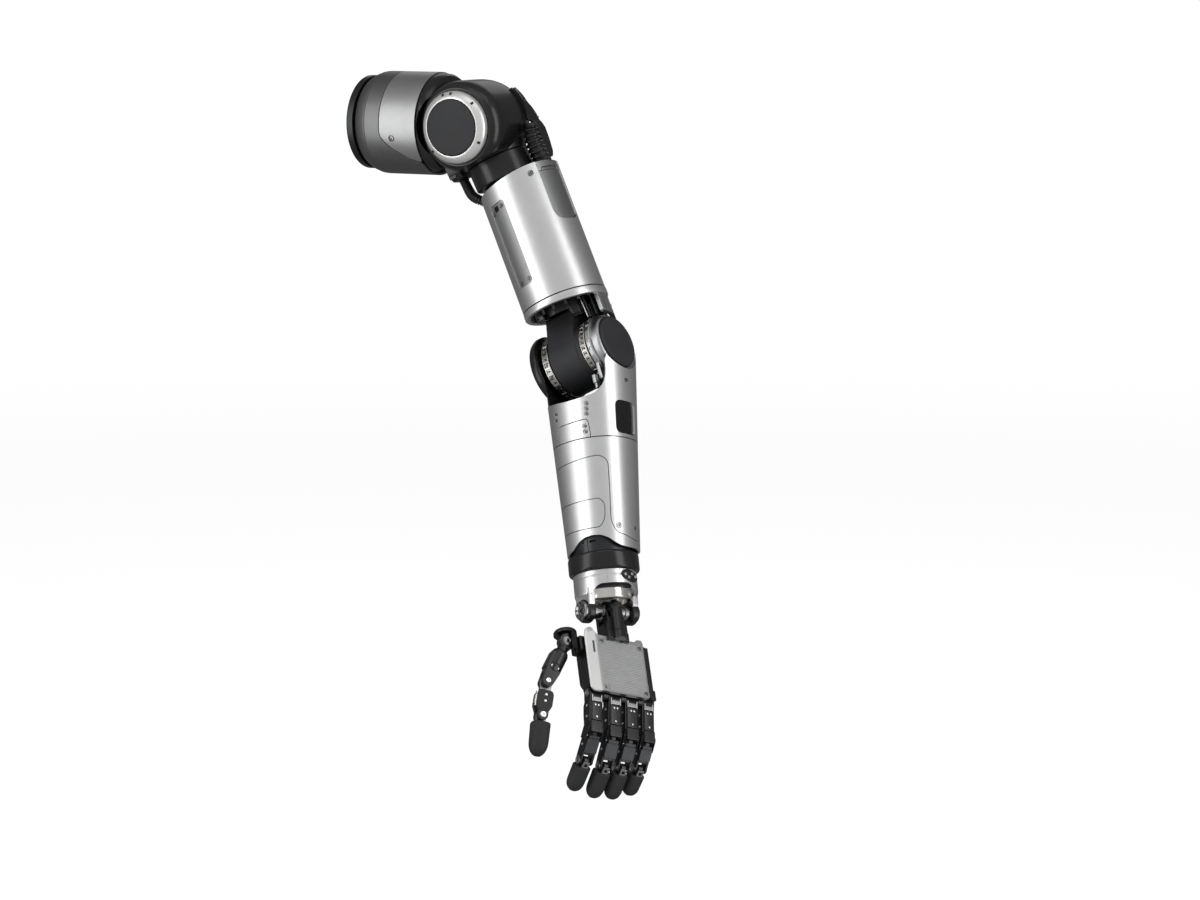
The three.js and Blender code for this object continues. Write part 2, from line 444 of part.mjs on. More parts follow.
  // ---- thumb ----
  const zAxis = new THREE.Vector3(...THUMB_DIR).normalize().negate();
  const yAxis = new THREE.Vector3(...THUMB_Y);
  yAxis.addScaledVector(zAxis, -yAxis.dot(zAxis)).normalize();
  const xAxis = new THREE.Vector3().crossVectors(yAxis, zAxis);
  const gT0 = new THREE.Group();
  gT0.position.set(cx, cy, cz);
  gT0.quaternion.setFromRotationMatrix(new THREE.Matrix4().makeBasis(xAxis, yAxis, zAxis));
  gHand.add(gT0);
  const [t1, t2, t3] = THUMB_L;
  const gT1 = frame(gT0, [0, 0, -t1], [Y, -THUMB_BEND[0]]);
  const gT2 = frame(gT1, [0, 0, -t2], [Y, -THUMB_BEND[1]]);
  const meta = cut(
    join(
      disc(7, -6.4, 6.4, 14, "y"),
      box(-6, 6, -6, 6, -17, 0),
      prism([[-6.4, -12.5], [-9.4, -16], [-9.4, -t1 + 12], ...arc(0, -t1, 6.8, 180, 360, 6), [9.4, -t1 + 12], [9.4, -16], [6.4, -12.5]], -8.5, 8.5, "y"),
    ),
    box(-20, 20, -3.5, 3.5, -t1 - 12, -t1 + 8.6),
  );
  put(gT0, "thumb_metacarpal", meta, BLACK);
  const prox = cut(
    prism([...arc(0, 0, 6.6, 0, 180, 6), [-6.4, -9], [-8.4, -10.5], [-8.4, -t2 + 10], ...arc(0, -t2, 6, 180, 360, 6), [8.4, -t2 + 10], [8.4, -10.5], [6.4, -9]], -8, 8, "y"),
    box(-20, 20, 3.1, 20, -9.4, 20), box(-20, 20, -20, -3.1, -9.4, 20), box(-20, 20, -3.2, 3.2, -t2 - 12, -t2 + 7.6),
  );
  put(gT1, "thumb_proximal", prox, GUNMETAL);
  put(gT2, "thumb_distal", prism([...arc(0, 0, 5.8, 0, 180, 6), [-4.6, -9], [-4, -t3 + 15], [4, -t3 + 15], [4.6, -9]], -2.9, 2.9, "y"), STEEL);
  const tip = column((z) => {
    const t = (-z - 9) / (t3 - 9);
    const k = t < 0.55 ? 1 : Math.sqrt(Math.max(0.05, 1 - Math.pow((t - 0.55) / 0.48, 2)));
    return { cx: 0.6, cy: 0, rx: 9.6 * k, ry: 10 * k * lerp(1, 0.94, t), n: 2.5 };
  }, -t3, -9, 6, 14);
  put(gT2, "thumb_tip", cut(tip, prism([[-5.2, -4], [5.2, -4], [5.2, -9], [4.4, -t3 + 14.6], [-4.4, -t3 + 14.6], [-5.2, -9]], -3.3, 3.3, "y")), RUBBER);
}

export default arm;
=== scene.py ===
import math

import bmesh
import bpy
import numpy as np
from mathutils import Matrix


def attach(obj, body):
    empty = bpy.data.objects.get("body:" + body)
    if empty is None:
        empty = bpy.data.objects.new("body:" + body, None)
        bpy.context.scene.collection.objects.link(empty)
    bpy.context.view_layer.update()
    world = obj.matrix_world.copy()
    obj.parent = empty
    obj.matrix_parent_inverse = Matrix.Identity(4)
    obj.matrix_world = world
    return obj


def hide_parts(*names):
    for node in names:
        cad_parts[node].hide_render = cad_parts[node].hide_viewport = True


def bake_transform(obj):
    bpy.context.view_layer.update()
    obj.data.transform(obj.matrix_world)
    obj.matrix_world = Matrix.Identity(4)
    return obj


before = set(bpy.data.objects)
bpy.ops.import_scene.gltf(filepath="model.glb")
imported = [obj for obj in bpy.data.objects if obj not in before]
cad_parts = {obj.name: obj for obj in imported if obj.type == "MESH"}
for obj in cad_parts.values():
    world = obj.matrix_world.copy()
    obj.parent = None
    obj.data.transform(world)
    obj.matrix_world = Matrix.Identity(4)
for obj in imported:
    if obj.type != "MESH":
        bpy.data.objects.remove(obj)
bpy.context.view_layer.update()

# ------------------------------------------------------------------ frames (mm)
X, Y, Z = (1, 0, 0), (0, 1, 0), (0, 0, 1)


def rot(axis, deg):
    a = np.array(axis, float)
    a /= np.linalg.norm(a)
    t = math.radians(deg)
    k = np.array([[0, -a[2], a[1]], [a[2], 0, -a[0]], [-a[1], a[0], 0]])
    return np.eye(3) + math.sin(t) * k + (1 - math.cos(t)) * k @ k


class Frame:
    def __init__(self, t, R):
        self.t, self.R = np.array(t, float), np.array(R, float)

    def at(self, pos, *turns):
        R = self.R
        for ax, deg in turns:
            R = R @ rot(ax, deg)
        return Frame(self.t + self.R @ np.array(pos, float), R)

    def out(self, v):
        return (self.t + np.asarray(v, float) @ self.R.T) * 0.001

    def back(self, v):
        return (np.asarray(v, float) - self.t * 0.001) @ self.R


WORLD = Frame((0, 0, 0), np.eye(3))
BALL = WORLD.at((145, 0, 0), ((0, -1, 0), 27))
UPPER = BALL.at((0, 0, -3.9))
ELBOW = UPPER.at((0, 0, -277.5))  # fixed to the upper arm
HUB = ELBOW.at((0, 0, 0), (X, -19))  # fixed to the forearm, x along the elbow axis
FORE = HUB.at((0, 0, 0), (Y, 9.5))
ROTOR = FORE.at((0, 0, -285), (Z, 71.3))
CROSS = ROTOR.at((0, 0, 0), (X, -14.2))
HAND = CROSS.at((0, 0, 0), (Y, 7.8))


def lerp(a, b, t):
    return a + (b - a) * t


def squircle(t, n):
    c, s = math.cos(t), math.sin(t)
    k = (abs(c) ** n + abs(s) ** n) ** (-1 / n)
    return k * c, k * s


def upper_surface(deg, z, dr=0.0):
    q = (-z - 69) / 152
    cx, cy, r = 6, lerp(14, -2, q), 46.5 + dr
    c, s = squircle(math.radians(deg), 2.1)
    x, y = r * c, r * s
    return (cx + x, cy + y, z - lerp(0.07, 0.15, q) * y + lerp(0.127, 0, q) * x)


def fore_surface(deg, z, dr=0.0):
    q = (-z - 48) / 167
    cx, cy, r = lerp(4, 1, q), 1, lerp(47.6, 38.6, q) + dr
    c, s = squircle(math.radians(deg), 2.25)
    return (cx + r * c, cy + (r - 1) * s, z)


def drum_surface(deg, x, dr=0.0):
    # deg from the front (-Y) up over the top
    t = math.radians(deg)
    return (x, -(57 + dr) * math.cos(t), (57 + dr) * math.sin(t))


# ------------------------------------------------------------------ geometry (vertices mm, faces)
def arc(ca, cb, r, t0, t1, n):
    return [
        (ca + r * math.cos(math.radians(t0 + (t1 - t0) * i / n)), cb + r * math.sin(math.radians(t0 + (t1 - t0) * i / n)))
        for i in range(n + 1)
    ]


def rrect(a0, a1, b0, b1, r, n=6):
    return (
        arc(a1 - r, b1 - r, r, 0, 90, n) + arc(a0 + r, b1 - r, r, 90, 180, n)
        + arc(a0 + r, b0 + r, r, 180, 270, n) + arc(a1 - r, b0 + r, r, 270, 360, n)
    )


def fillet(points, r, n=3, closed=False, most=150):
    """Rounds the corners of an open or closed outline."""
    P = [np.array(p, float) for p in points]
    out = []
    m = len(P)
    for i in range(m):
        if not closed and i in (0, m - 1):
            out.append(tuple(P[i]))
            continue
        a, b, c = P[(i - 1) % m], P[i], P[(i + 1) % m]
        u, v = a - b, c - b
        lu, lv = np.linalg.norm(u), np.linalg.norm(v)
        if lu < 1e-6 or lv < 1e-6:
            continue
        u, v = u / lu, v / lv
        ang = math.degrees(math.acos(max(-1, min(1, float(u @ v)))))
        if ang > most:
            out.append(tuple(b))
            continue
        d = min(r, lu * 0.45, lv * 0.45)
        p, q = b + u * d, b + v * d
        for k in range(n + 1):
            s = k / n
            out.append(tuple((1 - s) ** 2 * p + 2 * s * (1 - s) * b + s * s * q))
    return out


def orient(v, axis):
    v = np.asarray(v, float)
    if axis == "z":
        return v
    if axis == "x":  # made about z: z -> x
        return np.stack([v[:, 2], v[:, 0], v[:, 1]], 1)
    return np.stack([v[:, 0], v[:, 2], -v[:, 1]], 1)  # y: z -> y


def lathe(profile, seg=96, axis="z", r=0.0, n=3):
    """Solid of revolution. Profile of (radius, height); open ends lie on the axis, otherwise it closes."""
    closed = not (abs(profile[0][0]) < 1e-9 and abs(profile[-1][0]) < 1e-9)
    if closed and np.allclose(profile[0], profile[-1]):
        profile = profile[:-1]
    if r:
        profile = fillet(profile, r, n, closed=closed)
    V, F, rows = [], [], []
    for pr, ph in profile:
        if abs(pr) < 1e-9:
            rows.append([len(V)])
            V.append((0, 0, ph))
        else:
            rows.append(list(range(len(V), len(V) + seg)))
            for i in range(seg):
                t = 2 * math.pi * i / seg
                V.append((pr * math.cos(t), pr * math.sin(t), ph))
    m = len(rows)
    for k in range(m if closed else m - 1):
        a, b = rows[k], rows[(k + 1) % m]
        for i in range(seg):
            j = (i + 1) % seg
            if len(a) == 1 and len(b) == 1:
                continue
            if len(a) == 1:
                F.append((a[0], b[i], b[j]))
            elif len(b) == 1:
                F.append((a[i], b[0], a[j]))
            else:
                F.append((a[i], b[i], b[j], a[j]))
    return orient(V, axis), F


def prism(outline, h0, h1, axis="z"):
    """Outline axes: z -> (x, y), x -> (y, z), y -> (x, z)."""
    m = len(outline)
    V = []
    for h in (h0, h1):
        for a, b in outline:
            V.append((a, b, h) if axis == "z" else ((h, a, b) if axis == "x" else (a, h, b)))
    F = [tuple(range(m)), tuple(range(2 * m - 1, m - 1, -1))]
    F += [(i, m + i, m + (i + 1) % m, (i + 1) % m) for i in range(m)]
    return np.array(V, float), F


def box(x0, x1, y0, y1, z0, z1):
    return prism([(x0, y0), (x1, y0), (x1, y1), (x0, y1)], z0, z1)


def disc(r, h0, h1, axis="z", seg=64):
    return prism([(r * math.cos(2 * math.pi * i / seg), r * math.sin(2 * math.pi * i / seg)) for i in range(seg)], h0, h1) if axis == "z" else (
        orient(prism([(r * math.cos(2 * math.pi * i / seg), r * math.sin(2 * math.pi * i / seg)) for i in range(seg)], h0, h1)[0], axis),
        prism([(0, 0)] * seg, 0, 1)[1],
    )


def shift(geo, d):
    return geo[0] + np.array(d, float), geo[1]


def turn(geo, axis, deg, about=(0, 0, 0)):
    c = np.array(about, float)
    return (geo[0] - c) @ rot(axis, deg).T + c, geo[1]


def both(*geos):
    V, F, k = [], [], 0
    for v, f in geos:
        V.append(np.asarray(v, float))
        F += [tuple(i + k for i in q) for q in f]
        k += len(v)
    return np.concatenate(V), F


def column(surface, z0, z1, dr=0.0, seg=128, steps=4):
    V = []
    for k in range(steps + 1):
        z = lerp(z0, z1, k / steps)
        V += [surface(360 * i / seg, z, dr) for i in range(seg)]
    F = [tuple(range(seg - 1, -1, -1)), tuple(range(steps * seg, (steps + 1) * seg))]
    for k in range(steps):
        for i in range(seg):
            j = (i + 1) % seg
            F.append((k * seg + i, k * seg + j, (k + 1) * seg + j, (k + 1) * seg + i))
    return np.array(V, float), F


def shell(surface, z0, z1, dr0, dr1, seg=144, steps=6):
    """Open-ended tube between two offsets of a surface."""
    V = []
    ring = [(z, dr0) for z in np.linspace(z0, z1, steps + 1)] + [(z, dr1) for z in np.linspace(z1, z0, steps + 1)]
    for z, dr in ring:
        V += [surface(360 * i / seg, z, dr) for i in range(seg)]
    F = []
    m = len(ring)
    for k in range(m):
        for i in range(seg):
            j = (i + 1) % seg
            a, b = k * seg, ((k + 1) % m) * seg
            F.append((a + i, a + j, b + j, b + i))
    return np.array(V, float), F


def sweep(points, radius, seg=16, cap=True, squash=1.0):
    """Round sweep along points; radius is a number or a list, one for each point."""
    P = np.array(points, float)
    m = len(P)
    T = np.gradient(P, axis=0)
    T /= np.linalg.norm(T, axis=1)[:, None]
    up = np.array([0.0, 1.0, 0.0]) if abs(T[0] @ np.array([0, 1.0, 0])) < 0.9 else np.array([1.0, 0, 0])
    N = np.cross(T[0], up)
    N /= np.linalg.norm(N)
    V = []
    for k in range(m):
        N = N - (N @ T[k]) * T[k]
        N /= np.linalg.norm(N)
        B = np.cross(T[k], N)
        rr = radius[k] if hasattr(radius, "__len__") else radius
        for i in range(seg):
            t = 2 * math.pi * i / seg
            V.append(P[k] + rr * (math.cos(t) * N + squash * math.sin(t) * B))
    F = []
    for k in range(m - 1):
        for i in range(seg):
            j = (i + 1) % seg
            F.append((k * seg + i, k * seg + j, (k + 1) * seg + j, (k + 1) * seg + i))
    if cap:
        F += [tuple(range(seg - 1, -1, -1)), tuple(range((m - 1) * seg, m * seg))]
    return np.array(V), F


def spline(points, n):
    """Catmull-Rom through the points, n samples in all."""
    P = np.array(points, float)
    P = np.vstack([2 * P[0] - P[1], P, 2 * P[-1] - P[-2]])
    out = []
    segs = len(P) - 3
    for i in range(n):
        u = segs * i / (n - 1)
        k = min(int(u), segs - 1)
        s = u - k
        a, b, c, d = P[k : k + 4]
        out.append(0.5 * (2 * b + (c - a) * s + (2 * a - 5 * b + 4 * c - d) * s * s + (3 * b - a - 3 * c + d) * s**3))
    return np.array(out)


def hexhead(r, h, sock=0.5, seg=24):
    """Cap-screw head about +z from 0 to h with a hexagon socket."""
    V, F = [], []

    def ring(rr, z, hexa=False):
        s = len(V)
        for i in range(seg):
            t = 2 * math.pi * i / seg
            k = rr
            if hexa:
                k = rr * math.cos(math.pi / 6) / math.cos((t + math.pi / 6) % (math.pi / 3) - math.pi / 6)
            V.append((k * math.cos(t), k * math.sin(t), z))
        return s

    rows = [ring(r, 0), ring(r, h * 0.72), ring(r * 0.95, h * 0.92), ring(r * 0.86, h), ring(r * sock * 1.08, h, True), ring(r * sock, h * 0.94, True), ring(r * sock, h * 0.2, True)]
    for a, b in zip(rows, rows[1:]):
        for i in range(seg):
            j = (i + 1) % seg
            F.append((a + i, a + j, b + j, b + i))
    F.append(tuple(rows[-1] + i for i in range(seg)))
    return np.array(V, float), F


def point_to(geo, pos, normal):
    """Turns a geometry made about +z so that +z points along normal, at pos."""
    n = np.array(normal, float)
    n /= np.linalg.norm(n)
    u = np.cross((0, 0, 1), n)
    if np.linalg.norm(u) < 1e-6:
        R = np.eye(3) if n[2] > 0 else rot(X, 180)
    else:
        R = rot(u, math.degrees(math.acos(max(-1, min(1, n[2])))))
    return geo[0] @ R.T + np.array(pos, float), geo[1]


# ------------------------------------------------------------------ materials
def new_mat(name):
    m = bpy.data.materials.new(name)
    m.use_nodes = True
    nt = m.node_tree
    nt.nodes.clear()
    out = nt.nodes.new("ShaderNodeOutputMaterial")
    b = nt.nodes.new("ShaderNodeBsdfPrincipled")
    nt.links.new(b.outputs[0], out.inputs[0])
    at = nt.nodes.new("ShaderNodeAttribute")
    at.attribute_name = "loc"
    return m, nt, b, at


def noise(nt, at, scale, stretch=(1, 1, 1), detail=3.0, rough=0.55):
    mp = nt.nodes.new("ShaderNodeMapping")
    mp.inputs["Scale"].default_value = stretch
    nt.links.new(at.outputs["Vector"], mp.inputs["Vector"])
    n = nt.nodes.new("ShaderNodeTexNoise")
    n.inputs["Scale"].default_value = scale
    n.inputs["Detail"].default_value = detail
    n.inputs["Roughness"].default_value = rough
    nt.links.new(mp.outputs[0], n.inputs["Vector"])
    return n.outputs["Fac"]


def ranged(nt, value, lo, hi, a=0.3, b=0.7):
    r = nt.nodes.new("ShaderNodeMapRange")
    r.inputs["From Min"].default_value = a
    r.inputs["From Max"].default_value = b
    r.inputs["To Min"].default_value = lo
    r.inputs["To Max"].default_value = hi
    nt.links.new(value, r.inputs["Value"])
    return r.outputs[0]


def mixed(nt, fac, c0, c1):
    m = nt.nodes.new("ShaderNodeMix")
    m.data_type = "RGBA"
    m.inputs[6].default_value = (*c0, 1)
    m.inputs[7].default_value = (*c1, 1)
    nt.links.new(fac, m.inputs[0])
    return m.outputs[2]


def bump(nt, height, strength, distance, base=None):
    b = nt.nodes.new("ShaderNodeBump")
    b.inputs["Strength"].default_value = strength
    b.inputs["Distance"].default_value = distance
    nt.links.new(height, b.inputs["Height"])
    if base is not None:
        nt.links.new(base, b.inputs["Normal"])
    return b.outputs[0]


def metal(name, color, rough, grain=(1, 1, 1), grain_scale=900, grain_bump=0.12, spread=0.06, metallic=1.0, tint=0.06, smudge=14, coat=0.0):
    m, nt, b, at = new_mat(name)
    big = noise(nt, at, smudge, detail=4)
    mid = noise(nt, at, smudge * 6, detail=5)
    fine = noise(nt, at, grain_scale, grain, detail=2)
    dark = tuple(c * (1 - tint) for c in color)
    light = tuple(min(1, c * (1 + tint * 0.5)) for c in color)
    nt.links.new(mixed(nt, ranged(nt, mid, 0, 1), dark, light), b.inputs["Base Color"])
    add = nt.nodes.new("ShaderNodeMath")
    add.operation = "ADD"
    nt.links.new(ranged(nt, big, rough - spread, rough + spread), add.inputs[0])
    nt.links.new(ranged(nt, fine, -0.03, 0.03), add.inputs[1])
    nt.links.new(add.outputs[0], b.inputs["Roughness"])
    b.inputs["Metallic"].default_value = metallic
    if coat:
        b.inputs["Coat Weight"].default_value = coat
        b.inputs["Coat Roughness"].default_value = 0.25
    n1 = bump(nt, fine, grain_bump, 0.0002)
    nt.links.new(n1, b.inputs["Normal"])
    return m


def plastic(name, color, rough, spec=0.5, grain_scale=1600, grain_bump=0.1, spread=0.06, coat=0.0, scuff=0.35, smudge=22):
    m, nt, b, at = new_mat(name)
    big = noise(nt, at, smudge, detail=5)
    fine = noise(nt, at, grain_scale, detail=2)
    worn = tuple(min(1, c * (1 + scuff) + 0.004) for c in color)
    nt.links.new(mixed(nt, ranged(nt, big, 0, 1), color, worn), b.inputs["Base Color"])
    add = nt.nodes.new("ShaderNodeMath")
    add.operation = "ADD"
    nt.links.new(ranged(nt, big, rough - spread, rough + spread), add.inputs[0])
    nt.links.new(ranged(nt, fine, -0.04, 0.04), add.inputs[1])
    nt.links.new(add.outputs[0], b.inputs["Roughness"])
    b.inputs["Specular IOR Level"].default_value = spec
    if coat:
        b.inputs["Coat Weight"].default_value = coat
        b.inputs["Coat Roughness"].default_value = 0.12
    nt.links.new(bump(nt, fine, grain_bump, 0.0002), b.inputs["Normal"])
    return m


M = {
    "silver": metal("silver_satin", (0.86, 0.862, 0.866), 0.36, (1, 1, 0.5), 2600, 0.045, 0.02, tint=0.03),
    # silver2 (silver_grey): the satin silver at a darker tone; on the right-hand lug web it is painted shade.
    "silver2": metal("silver_grey", (0.52, 0.524, 0.53), 0.36, (1, 1, 0.5), 2600, 0.05, 0.03, tint=0.05),
    "plate": metal("plate_grey", (0.40, 0.402, 0.404), 0.42, (1, 1, 0.3), 2200, 0.07, 0.03, tint=0.05),
    "brushed": metal("brushed_plate", (0.62, 0.622, 0.625), 0.34, (0.05, 1, 1), 2400, 0.14, 0.03, tint=0.05),
    # drum: the satin silver painted darker, painted shade over the whole drum; drum_shade: a still darker copy of it,
    # painted shade on the lower cover and the rim.
    "drum": metal("drum_satin_shaded", (0.52, 0.522, 0.526), 0.42, (1, 1, 0.5), 2400, 0.06, 0.03, tint=0.05),
    "drum_shade": metal("drum_shade_grey", (0.26, 0.261, 0.264), 0.44, (1, 1, 0.5), 2400, 0.06, 0.03, tint=0.05),
    "ring_white": metal("ring_satin", (0.93, 0.928, 0.92), 0.34, (1, 1, 1), 2200, 0.03, 0.02, metallic=0.6, tint=0.03),
    "steel": metal("polished_steel", (0.84, 0.825, 0.795), 0.17, (1, 1, 1), 1500, 0.03, 0.03, tint=0.05),
    "bearing": metal("bearing_steel", (0.50, 0.488, 0.465), 0.28, (1, 1, 1), 1500, 0.03, 0.03, tint=0.08),
    "steel_dark": metal("dark_steel", (0.36, 0.36, 0.365), 0.26, (1, 1, 1), 1500, 0.04, 0.04, tint=0.10),
    "plate_dark": metal("plate_dark", (0.08, 0.081, 0.084), 0.38, (1, 1, 0.3), 2200, 0.06, 0.04, metallic=0.85, tint=0.10),
    "gunmetal": metal("gunmetal", (0.15, 0.15, 0.155), 0.28, (1, 1, 0.4), 2200, 0.04, 0.05, tint=0.12),
    "black": plastic("black_satin", (0.010, 0.0102, 0.011), 0.27, 0.42, 2200, 0.03, 0.04, coat=0.2),
    "black_metal": metal("black_anodised", (0.055, 0.056, 0.059), 0.31, (1, 1, 1), 2200, 0.04, 0.05, metallic=0.8, tint=0.15),
    "cap": plastic("cap_matte", (0.026, 0.0265, 0.029), 0.52, 0.4, 1900, 0.08, 0.03),
    "gloss": plastic("window_gloss", (0.006, 0.0062, 0.0075), 0.12, 0.35, 900, 0.01, 0.02, coat=0.2),
    "rubber": plastic("rubber_matte", (0.026, 0.0265, 0.028), 0.62, 0.38, 2200, 0.16, 0.05),
    "hose": plastic("hose_black", (0.012, 0.012, 0.0125), 0.34, 0.5, 1600, 0.04, 0.05),
    # painted_shade (material inner_shadow): near-black sheets set behind seams, notches, slots, holes and undercuts,
    # painted shade where the real parts only lie in shadow.
    "painted_shade": plastic("inner_shadow", (0.006, 0.006, 0.0065), 0.6, 0.3, 600, 0.05, 0.05),
}

# ------------------------------------------------------------------ building pieces
TEMP = bpy.data.collections.new("making")
bpy.context.scene.collection.children.link(TEMP)


def raw_mesh(name, geo, fr):
    me = bpy.data.meshes.new(name)
    me.from_pydata(fr.out(geo[0]).tolist(), [], [list(f) for f in geo[1]])
    bm = bmesh.new()
    bm.from_mesh(me)
    bmesh.ops.remove_doubles(bm, verts=bm.verts, dist=1e-7)
    bmesh.ops.recalc_face_normals(bm, faces=bm.faces)
    bm.to_mesh(me)
    bm.free()
    return me


def temp_object(me):
    ob = bpy.data.objects.new(me.name, me)
    TEMP.objects.link(ob)
    return ob


def evaluate(ob):
    dg = bpy.context.evaluated_depsgraph_get()
    dg.update()
    return bpy.data.meshes.new_from_object(ob.evaluated_get(dg), preserve_all_data_layers=True, depsgraph=dg)


def finish_piece(name, body, mat, fr, me, smooth=32, replaces=()):
    me.name = name
    co = np.empty(len(me.vertices) * 3, np.float32)
    me.vertices.foreach_get("co", co)
    at = me.attributes.get("loc") or me.attributes.new("loc", "FLOAT_VECTOR", "POINT")
    at.data.foreach_set("vector", fr.back(co.reshape(-1, 3)).astype(np.float32).ravel())
    me.materials.clear()
    me.materials.append(M[mat])
    for p in me.polygons:
        p.use_smooth = True
    me.set_sharp_from_angle(angle=math.radians(smooth))
    ob = bpy.data.objects.new(name, me)
    bpy.context.scene.collection.objects.link(ob)
    w = ob.modifiers.new("weighted", "WEIGHTED_NORMAL")
    w.keep_sharp = True
    w.weight = 80
    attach(ob, body)
    if replaces:
        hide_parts(*replaces)
    return ob


def piece(name, body, mat, fr, geo, cut=(), join=(), keep=(), bevel=0.0, seg=2, limit=38, smooth=32, replaces=()):
    """One visible piece. geo in the frame's mm; booleans first, then a bevel of the sharp edges."""
    me = raw_mesh(name, geo, fr)
    made = [me]
    if cut or join or keep or bevel:
        ob = temp_object(me)
        for kind, geos in (("UNION", join), ("INTERSECT", keep), ("DIFFERENCE", cut)):
            for g in geos:
                tool = temp_object(raw_mesh(name + "_tool", g, fr))
                md = ob.modifiers.new("b", "BOOLEAN")
                md.operation, md.object, md.solver = kind, tool, "EXACT"
                made.append(tool)
        if bevel:
            md = ob.modifiers.new("bevel", "BEVEL")
            md.width, md.segments, md.limit_method, md.angle_limit = bevel * 0.001, seg, "ANGLE", math.radians(limit)
            md.use_clamp_overlap = True
            md.harden_normals = False
        me = evaluate(ob)
        for t in made[1:]:
            tm = t.data
            bpy.data.objects.remove(t)
            bpy.data.meshes.remove(tm)
        bpy.data.objects.remove(ob)
    return finish_piece(name, body, mat, fr, me, smooth, replaces)


def panel(name, body, mat, fr, surface, outline, thick=2.6, dr=0.0, holes=(), bevel=0.35, k=0.8, step=3.0, smooth=32, replaces=()):
    """A curved plate cut from a surface: outline and holes in (degrees, length mm), bent round after its edges are bevelled."""
    flat = prism([(a * k, z) for a, z in outline], -thick, 0)
    me = bpy.data.meshes.new(name)
    me.from_pydata((flat[0] * 0.001).tolist(), [], [list(f) for f in flat[1]])
    bm = bmesh.new()
    bm.from_mesh(me)
    bmesh.ops.recalc_face_normals(bm, faces=bm.faces)
    bm.to_mesh(me)
    bm.free()
    ob = temp_object(me)
    tools = []
    for hole in holes:
        pts, depth = hole if isinstance(hole, tuple) and len(hole) == 2 and isinstance(hole[1], (int, float)) else (hole, thick + 1)
        g = prism([(a * k, z) for a, z in pts], -depth, 1)
        tool = temp_object(raw_mesh(name + "_t", (g[0], g[1]), WORLD))
        md = ob.modifiers.new("b", "BOOLEAN")
        md.operation, md.object, md.solver = "DIFFERENCE", tool, "EXACT"
        tools.append(tool)
    if bevel:
        md = ob.modifiers.new("bevel", "BEVEL")
        md.width, md.segments, md.limit_method, md.angle_limit = bevel * 0.001, 2, "ANGLE", math.radians(50)
    flat_me = evaluate(ob)
    for t in tools:
        tm = t.data
        bpy.data.objects.remove(t)
        bpy.data.meshes.remove(tm)
    bpy.data.objects.remove(ob)
    bm = bmesh.new()
    bm.from_mesh(flat_me)
    lo = min(v.co.x for v in bm.verts) * 1000
    hi = max(v.co.x for v in bm.verts) * 1000
    a = math.ceil(lo / k / step) * step
    while a * k < hi:
        if a * k > lo + 0.05:
            bmesh.ops.bisect_plane(bm, geom=bm.verts[:] + bm.edges[:] + bm.faces[:], dist=1e-8, plane_co=(a * k * 0.001, 0, 0), plane_no=(1, 0, 0))
        a += step
    for v in bm.verts:
        p = surface(v.co.x * 1000 / k, v.co.y * 1000, dr + v.co.z * 1000)
        v.co = fr.out([p])[0]
    bmesh.ops.remove_doubles(bm, verts=bm.verts, dist=1e-7)
    bmesh.ops.recalc_face_normals(bm, faces=bm.faces)
    me2 = bpy.data.meshes.new(name)
    bm.to_mesh(me2)
    bm.free()
    return finish_piece(name, body, mat, fr, me2, smooth, replaces)


def spot(deg, z, r, k=0.8, n=24):
    return [(deg + r * math.cos(2 * math.pi * i / n) / k, z + r * math.sin(2 * math.pi * i / n)) for i in range(n)]


def on(surface, deg, z, dr=0.0):
    """(point, outward normal) on a surface."""
    p = np.array(surface(deg, z, dr))
    a = np.array(surface(deg + 0.5, z, dr)) - np.array(surface(deg - 0.5, z, dr))
    b = np.array(surface(deg, z + 0.5, dr)) - np.array(surface(deg, z - 0.5, dr))
    n = np.cross(a, b)
    n /= np.linalg.norm(n)
    if n @ (np.array(surface(deg, z, dr + 1)) - p) < 0:
        n = -n
    return p, n


def screws(name, body, fr, items, mat="steel_dark"):
    """items: (position, normal, head radius, head height)."""
    geos = [point_to(turn(hexhead(r, h), Z, 17 * i), p, n) for i, (p, n, r, h) in enumerate(items)]
    me = raw_mesh(name, both(*geos), fr)
    return finish_piece(name, body, mat, fr, me, 30)


def hose(name, body, fr, points, r, pitch, mat="hose", depth=0.16):
    path = spline(points, 220)
    length = np.concatenate([[0], np.cumsum(np.linalg.norm(np.diff(path, axis=0), axis=1))])
    n = max(40, int(length[-1] / (pitch / 8)))
    s = np.linspace(0, length[-1], n)
    P = np.stack([np.interp(s, length, path[:, i]) for i in range(3)], 1)
    wave = np.clip(np.cos(2 * math.pi * s / pitch) * 1.6, -1, 1)
    grow = np.interp(s / length[-1], [0, 0.3, 1], [r[0], r[1], r[1]]) if isinstance(r, tuple) else r
    radius = grow * (1 - depth / 2 + depth / 2 * wave)
    me = raw_mesh(name, sweep(P, radius.tolist(), 28), fr)
    return P, me

# ================================================================== shoulder mount
bolts = [(turn(shift(disc(2.75, -1, 20, "x", 24), (0, 43, 0)), X, 60 * i + 30)) for i in range(6)]
sinks = [(turn(shift(disc(4.6, 4.6, 20, "x", 24), (0, 43, 0)), X, 60 * i + 30)) for i in range(6)]
piece("vis_flange", "shoulder_mount", "black_metal", WORLD, lathe([(0, 0), (52, 0), (52, 8), (33, 8), (33, 16), (18, 16), (18, 8), (0, 8)], 128, "x", 0.8),
      cut=[both(*bolts), both(*sinks)], bevel=0.3, replaces=["shoulder_flange"])
piece("vis_pitch_bearing", "shoulder_mount", "steel", WORLD,
      lathe([(33.4, 8.4), (40, 8.4), (40, 15.5), (37.6, 15.5), (37.2, 14.8), (36.2, 14.8), (35.8, 15.5), (33.4, 15.5)], 128, "x", 0.5), replaces=["pitch_bearing"])

